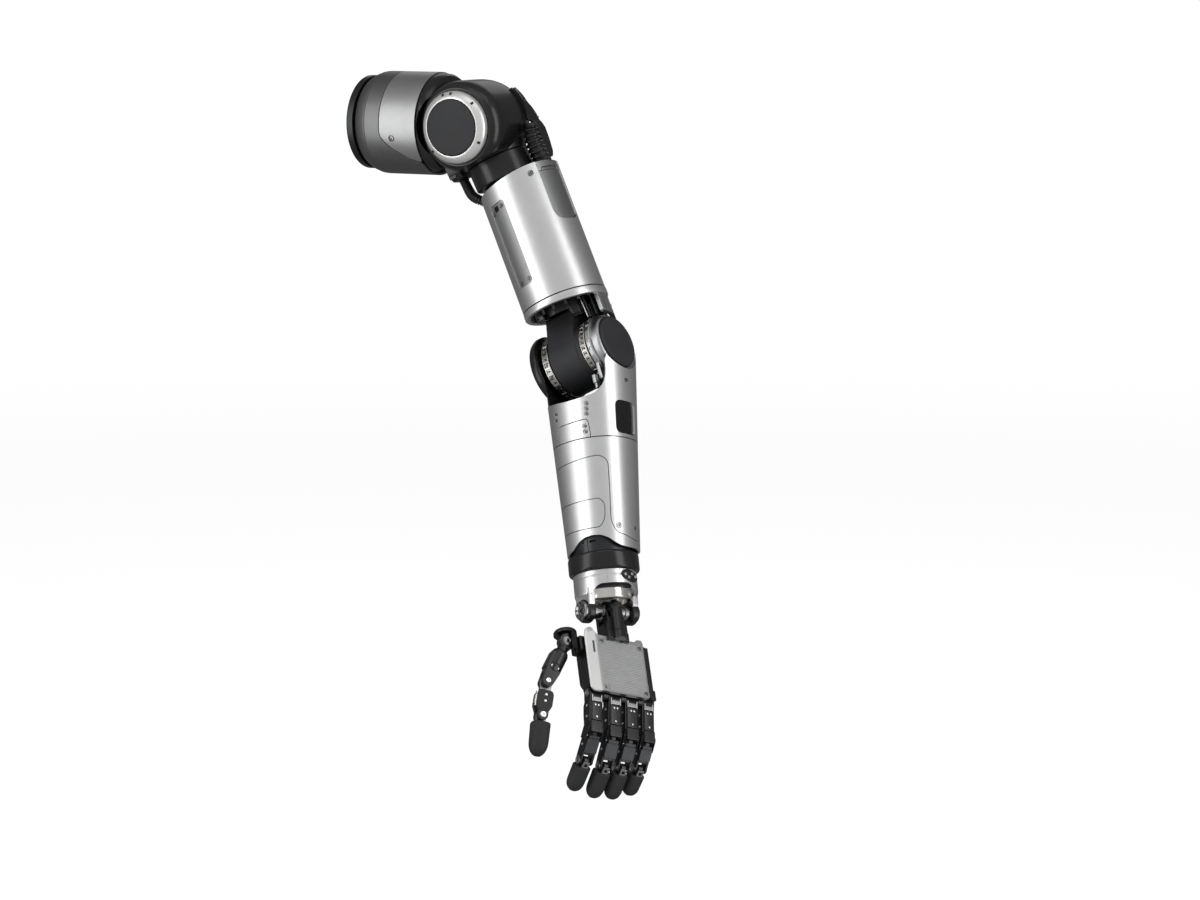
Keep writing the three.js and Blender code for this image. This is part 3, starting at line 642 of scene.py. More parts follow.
# ================================================================== shoulder drum
B = "shoulder_yoke"
drum_k = 57 * math.pi / 180
# The rim takes drum_shade: painted shade on the drum's own satin metal.
piece("vis_drum_rim", B, "drum_shade", WORLD,
      lathe([(41.5, 10.5), (49.5, 10.5), (51, 11.2), (54.3, 16.6), (56.4, 22.6), (57, 26.4), (55.2, 26.4), (54.8, 30), (51.8, 30), (43, 23), (41.5, 20)], 160, "x", 0.6))
# Near-black ring under the drum covers: painted shade seen through their parting line and gaps.
piece("vis_drum_under", B, "painted_shade", WORLD, lathe([(51.7, 28), (54.6, 28), (54.6, 91), (51.7, 91)], 128, "x"))
# Upper cover and lower cover, parted by a line that runs down the front and then outboard.
gap = 0.35
edge = [(-11, 47), (-22, 56.5), (-38, 77), (-45, 91.9)]


def drum_uv(deg, z, dr=0.0):
    return drum_surface(deg, z, dr)


upper_out = fillet([(190, 91.9), (190, 46)] + [(-13, 46)] + [(-24, 56), (-39, 76), (-46.5, 91.9)], 6, 5, closed=True)
hole_d = [(-15 + 3.6 * math.cos(2 * math.pi * i / 24) / drum_k, 61 + 3.6 * math.sin(2 * math.pi * i / 24)) for i in range(24)]
panel("vis_drum_cover", B, "drum", WORLD, drum_uv, upper_out, 2.3, holes=[(hole_d, 1.7)], bevel=0.35, k=drum_k, step=2.5, replaces=["shoulder_drum"])
# The lower cover takes drum_shade: painted shade below the parting line.
lower_out = fillet([(-47.2, 91.9), (-39.7, 76), (-24.6, 55.4), (-13.4, 45.3), (189.4, 45.3), (189.4, 26.8), (-169.4, 26.8), (-169.4, 91.9)], 6, 5, closed=True)
panel("vis_drum_lower", B, "drum_shade", WORLD, drum_uv, lower_out, 2.3, bevel=0.35, k=drum_k, step=2.5)
p, n = on(drum_surface, -15, 61, -1.7)
screws("vis_drum_screw", B, WORLD, [(p, n, 2.9, 1.6)], "steel_dark")
# Liner lip scooped round the ball.
piece("vis_drum_liner", B, "black", WORLD,
      lathe([(40, 34), (51.2, 34), (51.2, 92.5), (55.4, 92.5), (55.7, 96), (55.0, 101), (53, 104.4), (50, 106), (45, 106), (41.4, 104), (40, 100)], 160, "x", 0.8),
      cut=[shift(disc(51.6, -80, 80, "y", 160), (145, 0, 0)), box(84, 120, 20, 80, -19.6, 19.6), box(90, 120, -20, 30, -70, -34)],
      bevel=0.9, seg=3, replaces=["shoulder_drum_liner"])
piece("vis_drum_inner_ring", B, "black_metal", WORLD, lathe([(30, 60), (39.6, 60), (39.6, 84), (37, 87), (33, 87), (30, 84)], 96, "x", 1.0))
plate = lathe([(0, 17), (39.5, 17), (39.5, 40), (34, 40), (32, 42.5), (14, 42.5), (12, 40), (0, 40)], 96, "x", 0.8)
piece("vis_bracket_plate", B, "black_metal", WORLD, plate)
strap = prism(fillet([(38, 24), (80, 24), (95, 31), (111, 46), (128, 53.4), (146, 53.4), (146, 62), (124, 62), (106, 55), (97, 46), (90, 34), (38, 34)], 7, 5, closed=True), -19, 19, "z")
piece("vis_bracket_strap", B, "black_metal", WORLD, strap, bevel=1.0, seg=3, replaces=["roll_bracket"])
piece("vis_bracket_eye", B, "black_metal", WORLD, shift(lathe([(0, 53.4), (24, 53.4), (24, 62), (19, 62), (18, 61), (8, 61), (7, 62), (0, 62)], 96, "y", 0.7), (145, 0, 0)))
screws("vis_bracket_screws", B, WORLD, [((145 + 13 * math.cos(math.radians(a)), 61, 13 * math.sin(math.radians(a))), (0, 1, 0), 2.3, 1.6) for a in range(0, 360, 60)])

# ================================================================== ball
B = "shoulder_ball"


def groove(profile_r, h, w=0.7, d=0.8):
    return [(profile_r, h - w / 2), (profile_r - d, h - w / 2 + 0.1), (profile_r - d, h + w / 2 - 0.1), (profile_r, h + w / 2)]


ball = [(0, -54), (40.0, -54), (40.0, -55.6), (42.2, -56), (43.2, -55.2)] + groove(45.4, -53.0, 0.6, 0.7) + [(47.4, -50.2), (48.9, -47), (49.5, -44.6)] + groove(49.8, -42.6, 0.7, 0.7) + groove(50, -39.6, 0.5, 0.5) + [
    (50, -36), (50, -16), (49.95, -4)] + [(49.8, 2), (49.2, 8), (48, 14), (46.2, 19), (43.6, 24.6), (40.2, 30), (36, 35), (31, 39.5), (25, 43.4), (18, 46.2), (16.6, 52.9), (0, 52.9)]
piece("vis_ball", B, "black", BALL, lathe(ball, 176, "y", 0.5, 2), cut=[box(-90, 90, -90, 90, -95, -42.4)], smooth=40, replaces=["ball_housing"])
piece("vis_neck", B, "black", BALL,
      lathe([(0, -12), (41.5, -12), (41.2, -18), (40.4, -24), (39.2, -29), (37.4, -34), (35.8, -38.5), (35, -41), (34.4, -41.8), (0, -41.8)], 144, "z", 0.6), smooth=40)
# Bevelled trim ring with four notches.
ring = lathe([(31, -54.5), (39.2, -54.5), (39.2, -59.4), (38.8, -60.8), (37.6, -62.6), (35.8, -64.4), (33.8, -65.8), (32.2, -66.4), (31, -66.5)], 176, "y", 0.3, 2)
marks = [turn(shift(turn(box(-1.7, 1.7, -0.7, 0.7, -1.3, 1.3), Z, 42), (36.3, -63.7, 0)), Y, -a) for a in (82, 66, 20, -52, -160)]
piece("vis_roll_ring", B, "ring_white", BALL, ring, smooth=25, replaces=["roll_trim_ring"])
# The notch marks are near-black inserts: painted shade standing for the notches' shadowed recesses.
piece("vis_roll_ring_notch_shade", B, "painted_shade", BALL, both(*marks), bevel=0.15, seg=1)
piece("vis_roll_cap", B, "cap", BALL, lathe([(0, -55), (30.5, -55), (30.5, -66.3), (29.8, -67.1), (28.6, -67.5), (20, -67.9), (10, -68), (0, -68)], 144, "y", 0.3), smooth=40, replaces=["roll_cap"])
piece("vis_collar", B, "black", BALL,
      lathe([(0, -42.3), (34.2, -42.3), (34.9, -43.0), (34.9, -66.8), (34.0, -67.7), (26.5, -67.7), (25, -69), (23, -69), (23, -94), (0, -94)], 144, "z", 0.4), replaces=["neck_collar"])


def sector(r0, r1, t0, t1, n):
    return arc(0, 0, r1, t0, t1, n) + arc(0, 0, r0, t1, t0, n)


side = arc(0, 0, 53, 24, -20, 40) + [(51.6, -30), (51, -45), (49.6, -57), (47.4, -62), (44.6, -62), (46, -56), (47.6, -44), (48.4, -32)] + arc(0, 0, 50.3, -20, 24, 40)
reach = fillet([(12, 27), (7, -17.5), (16, -18.5), (18.5, -26), (18.5, -64), (33, -64), (36, -24), (30, -13), (18.5, 2), (14, 27)], 4, 4, closed=True)
piece("vis_guard", B, "black", BALL, prism(side, 5, 38, "y"), keep=[prism(reach, 38, 60, "x")], bevel=0.7, seg=3, limit=42, replaces=["rear_guard"])
piece("vis_guard_web", B, "black", BALL, prism(sector(46.5, 51.5, -12, 26, 24), 8, 12.5, "y"), bevel=0.4)
piece("vis_guard_strip", B, "steel_dark", BALL, prism(sector(52.8, 53.2, 6, 21, 16), 10.5, 12.6, "y"), bevel=0.1, seg=1)
screws("vis_guard_screws", B, BALL, [((53.0 * math.cos(math.radians(t)), y, 53.0 * math.sin(math.radians(t))), (math.cos(math.radians(t)), 0, math.sin(math.radians(t))), 1.5, 0.5) for t, y in ((4, 15), (-12, 26), (-18, 31))])


# Corrugated conduits run in a fixed curve between the ball and the turning upper arm.
def conduit(name, node, pts, r, pitch, depth):
    P, me = hose(name, B, BALL, pts, r, pitch, depth=depth)
    ob = finish_plain(name, "hose", BALL, me)
    a, b = BALL.out([pts[1]])[0], BALL.out([pts[-1]])[0]
    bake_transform(ob)
    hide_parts(node)
    return ob


def finish_plain(name, mat, fr, me):
    me.name = name
    co = np.empty(len(me.vertices) * 3, np.float32)
    me.vertices.foreach_get("co", co)
    at = me.attributes.new("loc", "FLOAT_VECTOR", "POINT")
    at.data.foreach_set("vector", fr.back(co.reshape(-1, 3)).astype(np.float32).ravel())
    me.materials.append(M[mat])
    for p in me.polygons:
        p.use_smooth = True
    ob = bpy.data.objects.new(name, me)
    bpy.context.scene.collection.objects.link(ob)
    return ob


conduit("vis_conduit_rear", "conduit_rear", [[53.6, 0.6, -25], [51.6, 1, -30], [49.6, 2, -38], [46.8, 6, -50], [43, 14, -64], [39.6, 18.5, -78], [38.5, 20, -96]], (8.4, 10.2), 5.6, 0.24)
conduit("vis_conduit_front", "conduit_front", [[-54, 3, -30], [-51.5, 3, -44], [-50, 1.5, -56], [-46.6, -1.6, -64.5], [-41.6, -2.6, -70.8], [-36.5, 0.6, -76.8], [-32.5, 6.4, -84.5], [-31.2, 9.6, -93], [-31, 10, -100]], 5.7, 2.6, 0.17)
piece("vis_gland_rear", B, "black_metal", BALL, point_to(lathe([(0, -3), (6.6, -3), (7.4, -2), (7.4, 1.4), (6.6, 2.4), (0, 2.4)], 48, "z", 0.3), (53.2, 0.8, -26.4), (-0.35, 0.05, -1)), smooth=25)
piece("vis_gland_front", B, "black_metal", BALL, point_to(lathe([(0, -4), (6.0, -4), (6.8, -3), (6.8, 3), (6.0, 4), (0, 4)], 12, "z", 0.3), (-53, 3, -37), (0.17, 0, -1)), smooth=25)
clip = prism(fillet([(-17, -22), (-17, -34), (-12, -43), (9, -44), (11, -22)], 2.5, 3, closed=True), -56.5, -42, "x")
piece("vis_clip", B, "black", BALL, clip, keep=[box(-70, 0, -40, 40, -60, -24)], cut=[shift(disc(5.4, -60, -20, "z", 40), (-52.6, 3, 0))], bevel=0.8, seg=2)
piece("vis_clip_fins", B, "black_metal", BALL, both(*[box(-57.3, -48, -15.5 + i * 3.6, -14.1 + i * 3.6, -40, -27) for i in range(4)]), bevel=0.3)

# ================================================================== upper arm
B = "upper_arm"
UK = 46.5 * math.pi / 180
SEAM = 22  # right-hand seam, degrees


def hole(c, z, w, h, r, k):
    return [(c + a / k, z + b) for a, b in rrect(-w, w, -h, h, r, 8)]


access = hole(-105, -138.5, 11.3, 50.2, 4.6, UK)
top_screw = spot(-42.1, -79.2, 3.5, UK)
front_outline = fillet([(-200, -69), (SEAM - 0.4, -69), (SEAM - 0.4, -211.8), (-200, -211.8)], 1.0, 2, closed=True)
conduit_gap = [(-5 + a / UK, z) for a, z in fillet([(-20.3, -46), (20.3, -46), (20.3, -136.3), (-20.3, -136.3)], 15, 10, closed=True)]
hose_gap = fillet([(-182, -60), (-154, -60), (-154, -86), (-182, -86)], 4, 4, closed=True)
panel("vis_upper_front", B, "silver", UPPER, upper_surface, front_outline, 3.0,
      holes=[(access, 4), (conduit_gap, 4), (top_screw, 2.2), (hose_gap, 4)], bevel=0.4, k=UK, step=2.5, replaces=["upper_shell_front"])
rear_outline = fillet([(SEAM + 0.4, -69), (159.4, -69), (159.4, -211.8), (SEAM + 0.4, -211.8)], 1.0, 2, closed=True)
rib_lines = [([(a, -140), (a + 0.7, -140), (a + 0.7, -208), (a, -208)], 0.6) for a in (27.5,)]
panel("vis_upper_rear", B, "silver", UPPER, upper_surface, rear_outline, 3.0, holes=rib_lines, bevel=0.4, k=UK, step=2.5, replaces=["upper_shell_rear"])
# Near-black inner shell under the upper covers: painted shade behind their seam and openings.
piece("vis_upper_under", B, "painted_shade", UPPER, shell(upper_surface, -71, -213, -3.3, -4.4, 144, 2))
# Recessed access plate: slot and two screw pairs.
slot_cut = hole(-108.2, -94.2, 3.6, 3.2, 1.6, UK)
acc = hole(-105, -138.5, 11.0, 49.9, 4.4, UK)
acc_spots = [(-115.6, -97.5), (-97.5, -94.5), (-112.8, -184.2), (-96, -183.4)]
panel("vis_access_plate", B, "plate", UPPER, upper_surface, acc, 2.0, dr=-1.2, holes=[(slot_cut, 3)] + [(spot(a, z, 2.7, UK), 1.5) for a, z in acc_spots], bevel=0.25, k=UK, step=2.5, replaces=["access_plate"])
# Near-black sheet under the access plate: painted shade round the recessed plate and in its slot and screw holes.
piece("vis_access_under", B, "painted_shade", UPPER, shell(upper_surface, -88, -190, -3.0, -3.8, 96, 1))
items = []
for a, z in acc_spots:
    p, n = on(upper_surface, a, z, -2.6)
    items.append((p, n, 2.1, 1.5))
p, n = on(upper_surface, -42.1, -79.2, -2.3)
items.append((p, n, 2.9, 2.0))
screws("vis_upper_screws", B, UPPER, items)
# Inset conduit panel: raised band at its top, deeper field below.
field = [(-5 + a / UK, z) for a, z in (fillet([(-19.7, -80), (19.7, -80)], 1) + arc(5.1, -121.1, 14.6, 0, -90, 10) + arc(-5.1, -121.1, 14.6, -90, -180, 10))]
panel("vis_conduit_panel", B, "plate", UPPER, upper_surface, field, 2.0, dr=-1.1, bevel=0.3, k=UK, step=2.5, replaces=["conduit_panel"])
band = [(-5 + a / UK, z) for a, z in ((-19.7, -69.2), (19.7, -69.2), (19.7, -79.6), (16, -79.6), (14, -76), (-14, -76), (-16, -79.6), (-19.7, -79.6))]
panel("vis_conduit_band", B, "silver2", UPPER, upper_surface, band, 2.4, dr=-0.4, bevel=0.3, k=UK, step=2.5)
tabs = [(-5 + a / UK, z) for a, z in ((-13.4, -76.6), (13.4, -76.6), (15.2, -79.5), (-15.2, -79.5))]
panel("vis_conduit_tab", B, "plate", UPPER, upper_surface, tabs, 1.4, dr=-1.3, bevel=0.2, k=UK, step=2.5)
# End ring.
V = []
ring_prof = [(-213.1, 0.1), (-213.5, 0.4), (-219.6, 0.4), (-220.8, -0.4), (-221, -2.0), (-220.8, -5.2), (-219.8, -5.9), (-213.6, -5.9), (-213.1, -5.2)]
seg = 176
for z, dr in ring_prof:
    V += [upper_surface(360 * i / seg, z, dr) for i in range(seg)]
F = [(a * seg + i, a * seg + (i + 1) % seg, ((a + 1) % len(ring_prof)) * seg + (i + 1) % seg, ((a + 1) % len(ring_prof)) * seg + i) for a in range(len(ring_prof)) for i in range(seg)]
piece("vis_end_ring", B, "silver", UPPER, (np.array(V), F), replaces=["upper_end_ring"], smooth=50)
# Guide rails and dark ribs seen inside the open end.
ribs = []
for i in range(18):
    a = i * 20
    p0, n0 = on(upper_surface, a, -206, -6.2)
    ribs.append(turn(shift(box(-2.0, 1.2, -1.6, 1.6, -14, 6), (math.hypot(*(np.array(p0)[:2] - (6, -1))), 0, 0)), Z, math.degrees(math.atan2(p0[1] + 1, p0[0] - 6))))
ribs = [shift(g, (6, -1, -206)) for g in ribs]
piece("vis_end_ribs", B, "black_metal", UPPER, both(*ribs), bevel=0.3)
# Elbow strut: bright slotted bracket that carries the cover's outer surface down to the hub.
strut_out = fillet([(-7, -214), (-7, -240.6), (14, -243.2), (36, -248), (39.5, -244), (39.5, -214)], 3.2, 4, closed=True)
strut_slots = [[(c + a / UK, z) for a, z in rrect(-w, w, -238.6, -223.6, w * 0.9, 5)] for c, w in ((3.0, 2.3), (22, 2.6))]
panel("vis_strut", B, "silver2", UPPER, upper_surface, strut_out, 5.0, dr=-1.0, holes=[(h, 2.4) for h in strut_slots], bevel=0.4, k=UK, step=2.5, replaces=["elbow_strut"])
strut_items = []
for a_, z_ in ((12.5, -238), (33, -232)):
    p, n = on(upper_surface, a_, z_, -1.2)
    strut_items.append((p, n, 1.5, 0.6))
screws("vis_strut_screws", B, UPPER, strut_items)
# Backbone and motor cylinder above the elbow.
core = both(
    lathe([(0, -80), (26.4, -80), (26.4, -112), (21, -114), (0, -114)], 96, "z", 0.8),
    lathe([(0, -112), (19, -112), (19, -206), (0, -206)], 96, "z", 0.5),
)
piece("vis_upper_core", B, "gunmetal", UPPER, core)
tower = lathe([(0, -196), (20.5, -196), (20.5, -203), (19.4, -204), (19.4, -222.4), (0, -222.4)], 96, "z", 0.7)
piece("vis_upper_tower", B, "black_metal", UPPER, shift(tower, (-2, -1, 0)), replaces=["upper_core"])
piece("vis_upper_tower_block", B, "black", UPPER, both(box(-21.5, 12.4, 2, 25.6, -222.6, -199), box(-22, -14, -22, 4, -222.6, -209)), bevel=1.2, seg=3)
piece("vis_upper_strap", B, "black", UPPER, box(11, 34.4, 12.4, 23.2, -203.8, -194.4), bevel=0.8)
motor = lathe([(0, -196), (9.2, -196), (9.2, -229.6), (8.6, -230.2), (8.6, -231), (9.2, -231.6), (9.2, -232.6), (8.2, -233.4), (0, -233.4)], 96, "z", 0.3)
piece("vis_upper_motor", B, "black", UPPER, shift(motor, (14, 0, 0)), smooth=35)
for i, (cx, cy, r, z0, z1) in enumerate(((25.0, 0, 0.9, -239, -200), (28.4, 1, 1.5, -239.5, -200), (-27, -12, 3.0, -222, -202), (33, 8, 2.2, -236, -200))):
    piece("vis_upper_rod_%d" % i, B, ("steel", "black_metal", "black_metal", "black_metal")[i], UPPER, shift(lathe([(0, z0), (r, z0), (r, z1), (0, z1)], 32, "z", 0.3), (cx, cy, 0)))

# Dark carrier plate behind the strut, clear of the hub's sweep.
piece("vis_strut_carrier", B, "black", UPPER, box(-4, 35, 20, 25, -246.5, -212), bevel=1.6, seg=3)
piece("vis_strut_carrier_foot", B, "black_metal", UPPER, box(21, 34.6, 6, 20.6, -240.2, -224), bevel=1.4, seg=3)

# Elbow motor barrel.
barrel = lathe([(0, -22.6), (35.2, -22.6), (36, -21.8), (36, 13.0), (35.4, 13.6), (34.8, 14.2), (34.8, 18.4), (34.0, 19.2), (0, 19.2)], 176, "x")
piece("vis_barrel", B, "cap", ELBOW, barrel, smooth=30, replaces=["elbow_barrel"])
block = fillet([(-30.3, 19.4), (-8.7, 53.1), (-6, 54.4), (18, 54.4), (26, 49), (28, 20), (0, 0)], 1.6, 3, closed=True)
piece("vis_barrel_block", B, "cap", ELBOW, prism(block, -22.4, 13.4, "x"), bevel=1.1, seg=3)


def bearing(name, x0, x1, r, node, count, flip):
    prof = [(15.4, x0), (r - 4.1, x0), (r - 3.7, x0 + 0.8), (r - 1.9, x0 + 0.8), (r - 1.5, x0), (r - 0.5, x0), (r, x0 + 0.6), (r, x1 - 0.6), (r - 0.5, x1), (r - 1.5, x1), (r - 1.9, x1 - 0.8), (r - 3.7, x1 - 0.8), (r - 4.1, x1), (15.4, x1)]
    w = (x1 - x0) / 2 - 1.6
    mid = (x0 + x1) / 2
    half = 2.2 * r * math.pi / count / 3.4
    cuts = [turn(box(mid - w, mid + w, r - 1.2, r + 1.5, -half, half), X, 360 / count * i) for i in range(count)]
    piece(name, B, "bearing", ELBOW, lathe(prof, 144, "x"), cut=[both(*cuts)], bevel=0.2, seg=1, limit=45, smooth=28, replaces=[node])
    studs = []
    for i in range(count):
        t = math.radians(360 / count * i)
        nrm = (0, math.cos(t), math.sin(t))
        studs.append(((mid, (r - 1.2) * nrm[1], (r - 1.2) * nrm[2]), nrm, 1.15, 1.1))
    screws(name + "_studs", B, ELBOW, studs, "gunmetal")


bearing("vis_bearing_inner", -31.2, -23, 37.0, "elbow_bearing_inner", 32, False)
bearing("vis_bearing_outer", 19.6, 27.2, 35.8, "elbow_bearing_outer", 36, True)
piece("vis_elbow_shaft", B, "steel_dark", ELBOW, lathe([(0, -35.6), (14.6, -35.6), (14.6, 27.3), (0, 27.3)], 64, "x", 0.5))

# ================================================================== forearm
B = "forearm"
FK = 43.5 * math.pi / 180


def hub(geo):
    """Elbow-axis shapes, in the forearm frame."""
    return turn(geo, Y, -9.5)


def hub_circle(r, deg):
    """Where a circle about the elbow axis meets the forearm's surface, as (degrees, height)."""
    y, zh = r * math.cos(math.radians(deg)), r * math.sin(math.radians(deg))
    th = math.radians(9.5)
    z = -20.0
    for _ in range(30):
        q = (-z - 48) / 167
        cx, rf = lerp(4, 1, q), lerp(47.6, 38.6, q)
        sn = (y - 1) / (rf - 1)
        cn = (1 - abs(sn) ** 2.25) ** (1 / 2.25)
        x = cx + rf * cn
        z = (zh + x * math.sin(th)) / math.cos(th)
    return math.degrees(math.atan2(sn, cn)), z


# Fork: one shell round the forearm's top, open at the front in a U and rising outboard to the hub.
U_EDGE = [(-200, -50), (-165, -50.6), (-149, -52), (-120, -56.4), (-94.5, -58.4), (-80, -58.4), (-66.2, -57.2), (-57, -55.6), (-51.4, -53.7), (-46, -50), (-41.4, -45.4), (-38.6, -41), (-37, -36), (-36.3, -30), (-36.2, -25), (-36.8, -20)]
window_c, window_w = -4.0, 15.9
seat = [hub_circle(33.2, t) for t in range(216, 352, 4)]
cheek = prism(fillet([(-27, 6), (29, 6), (28.4, -20), (27, -43), (-26, -43), (-27.4, -20)], 2, 3, closed=True), 28.6, 32.8, "x")
piece("vis_fork_cheek", B, "silver2", FORE, hub(cheek), bevel=0.6, seg=2, smooth=40, replaces=["forearm_fork"])
piece("vis_fork_boss", B, "silver2", HUB, disc(27.8, 33.4, 41.2, "x", 96), bevel=0.4)
hub_ring = lathe([(28.0, 28.3), (32.8, 28.3), (33.6, 29.1), (33.6, 40.4), (32.6, 42.8), (31.0, 44), (30.2, 44), (29.8, 43.4), (29.8, 41), (28, 40)], 176, "x", 0.3, 2)
rim = lathe([(28.5, 28.6), (35.9, 28.6), (36.5, 29.2), (36.5, 33.6), (35.9, 34.3), (33.9, 34.8), (28.5, 34.8)], 176, "x", 0.2)
rim_cuts = [turn(box(30, 33, -1.5, 1.5, 35.5, 40), X, 15 * i) for i in range(24)]
piece("vis_hub_rim", B, "silver2", HUB, rim, cut=[both(*rim_cuts)], bevel=0.2, seg=1, limit=50, smooth=28)
hub_notches = [turn(box(40, 46, -1.6, 1.6, 31.6, 36), X, a) for a in (8, 17, 26, 128, 248)]
piece("vis_hub_ring", B, "silver2", HUB, hub_ring, cut=[both(*hub_notches)], bevel=0.2, seg=1, limit=50, smooth=28)
piece("vis_elbow_cap_outer", B, "cap", HUB, lathe([(0, 41.4), (29.3, 41.4), (29.3, 46.4), (28.6, 47.3), (27.4, 47.7), (14, 48), (0, 48)], 144, "x", 0.3), smooth=40, replaces=["elbow_cap_outer"])


def ubound(a):
    for (a0, z0), (a1, z1) in zip(U_EDGE, U_EDGE[1:]):
        if a0 <= a <= a1:
            return lerp(z0, z1, (a - a0) / (a1 - a0))
    return U_EDGE[-1][1]


def ribbon(points, w, k):
    """Thin closed outline along an open line, w mm wide."""
    P = [np.array((a * k, z)) for a, z in points]
    L, R = [], []
    for i in range(len(P)):
        t = P[min(i + 1, len(P) - 1)] - P[max(i - 1, 0)]
        t = t / np.linalg.norm(t)
        n = np.array((-t[1], t[0])) * w / 2
        L.append(P[i] + n)
        R.append(P[i] - n)
    return [(p[0] / k, p[1]) for p in L + R[::-1]]


band_out = [(a, ubound(a)) for a in range(-165, -58, 3)] + fillet(U_EDGE[7:], 1, 2) + seat + [(50, -12), (54, -28), (62, -42), (72, -49)] + [(a, -50.5) for a in range(80, 116, 5)] + [(115, -101.8), (-165, -101.8)]
hatch_pts = [(-115.5, -106)] + fillet([(-114.6, -98), (-112.4, -83.6), (-63.6, -81.8), (-61.6, -98)], 5, 5) + [(-61.6, -106)]
band_holes = [(ribbon(hatch_pts, 0.75, FK), 5)]
band_screws = [(-63.4, -65.0), (-64.0, -70.6), (-64.4, -76.2), (-68.0, -89.2), (-67.8, -95.4), (-113.8, -68.4), (-115.0, -74.8)]
band_holes += [(spot(a, z, 2.6, FK, 20), 1.5) for a, z in band_screws]
window_hole = [(window_c + a / FK, z) for a, z in rrect(-window_w, window_w, -98, -61.6, 6.4, 8)]
band_holes += [(window_hole, 5), (spot(-1.8, -38, 3.3, FK, 24), 2.0)]
panel("vis_fork_shell", B, "silver", FORE, fore_surface, band_out, 3.8, holes=band_holes, bevel=0.5, k=FK, step=2.5)
fs = []
for a, z in band_screws:
    p, n = on(fore_surface, a, z, -1.1)
    fs.append((p, n, 1.75, 0.9))
p, n = on(fore_surface, -1.8, -38, -1.9)
fs.append((p, n, 2.5, 1.5))
screws("vis_fork_screws", B, FORE, fs)
# Back of the fork.
back_out = [(a, -50.5) for a in range(116, 197, 3)] + [(194.4, -101.8), (115.8, -101.8), (115.8, -50.5)]
panel("vis_fork_back", B, "silver", FORE, fore_surface, back_out, 3.8, bevel=0.45, k=FK, step=2.5)
# Near-black shell under the fork: painted shade seen through its window, hatch line and screw holes.
piece("vis_fork_under", B, "painted_shade", FORE, shell(fore_surface, -60, -102, -4.2, -5.0, 96, 1))
# Window: a gloss pane set back in the fork's opening.
pane = [(window_c + a / FK, z) for a, z in rrect(-window_w - 1.2, window_w + 1.2, -98.8, -60.8, 6.4, 8)]
panel("vis_window", B, "gloss", FORE, fore_surface, pane, 1.6, dr=-2.0, bevel=0.3, k=FK, step=2.5, replaces=["forearm_window"])
# Inner cheek.
inner = prism(fillet([(-41.2, 0), (41.2, 0), (39, -34), (31, -92), (-31, -92), (-39, -34)], 6, 4, closed=True), -46.4, -36, "x")
piece("vis_inner_cheek", B, "black", FORE, hub(inner), keep=[column(fore_surface, 60, -101, -0.6, 144, 4)], cut=[hub(disc(15.5, -60, -30, "x"))], bevel=2.4, seg=4, limit=42, smooth=40, replaces=["forearm_inner_cheek"])
piece("vis_inner_hub", B, "black", HUB,
      lathe([(15.5, -36), (38.4, -36), (39.2, -36.6), (40.6, -36.6), (41.5, -37.6), (41.5, -42), (40.0, -45.2), (37.6, -46.4), (24.6, -46.4), (23.8, -45.6), (23.8, -43.8), (15.5, -43.8)], 144, "x", 0.5))
piece("vis_elbow_cap_inner", B, "cap", HUB, lathe([(0, -47.4), (22, -47.4), (23.5, -46.4), (23.5, -43.9), (0, -43.9)], 96, "x", 0.5), replaces=["elbow_cap_inner"])
# Small parts inside the fork's mouth.
inside = both(*[hub(shift(lathe([(0, 0), (3.2, 0), (3.2, 6), (2.4, 7), (0, 7)], 24, "z", 0.3), (x, y, -70))) for x, y in ((8, -32), (18, -30), (-24, -27), (-14, -31))])
piece("vis_fork_studs", B, "steel_dark", FORE, inside)
piece("vis_fork_blocks", B, "black_metal", FORE, hub(both(box(2, 14, -38, -24, -84, -66), box(-30, -10, -36, -20, -84, -67), box(-8, 0, -38, -22, -86, -70))), bevel=1.0)
piece("vis_fork_latch", B, "silver2", FORE, hub(both(box(23.6, 27.8, -33, -25, -47, -37.6), box(24.2, 27.2, -32, -26, -53, -47))), bevel=0.7)
# Near-black band deep in the fork's mouth: painted shade on its floor.
piece("vis_fork_floor_shade", B, "painted_shade", FORE, column(fore_surface, -74, -80, -5.2, 96, 1))

# Lower covers: split line, big panel with a sub-panel, wavy lower edge.
def lower_edge(a):
    """Height of the cover's lower edge around the forearm."""
    a = (a + 180) % 360 - 180
    pts = [(-180, -222), (-150, -222), (-128, -222), (-112, -219), (-98, -212), (-85, -208.4), (-70, -207.6), (-58, -208.6), (-47, -212), (-36, -217.4), (-25, -220.6), (-10, -221.8), (20, -222), (60, -222), (180, -222)]
    for (a0, z0), (a1, z1) in zip(pts, pts[1:]):
        if a0 <= a <= a1:
            s = (a - a0) / (a1 - a0)
            return lerp(z0, z1, s)
    return -222


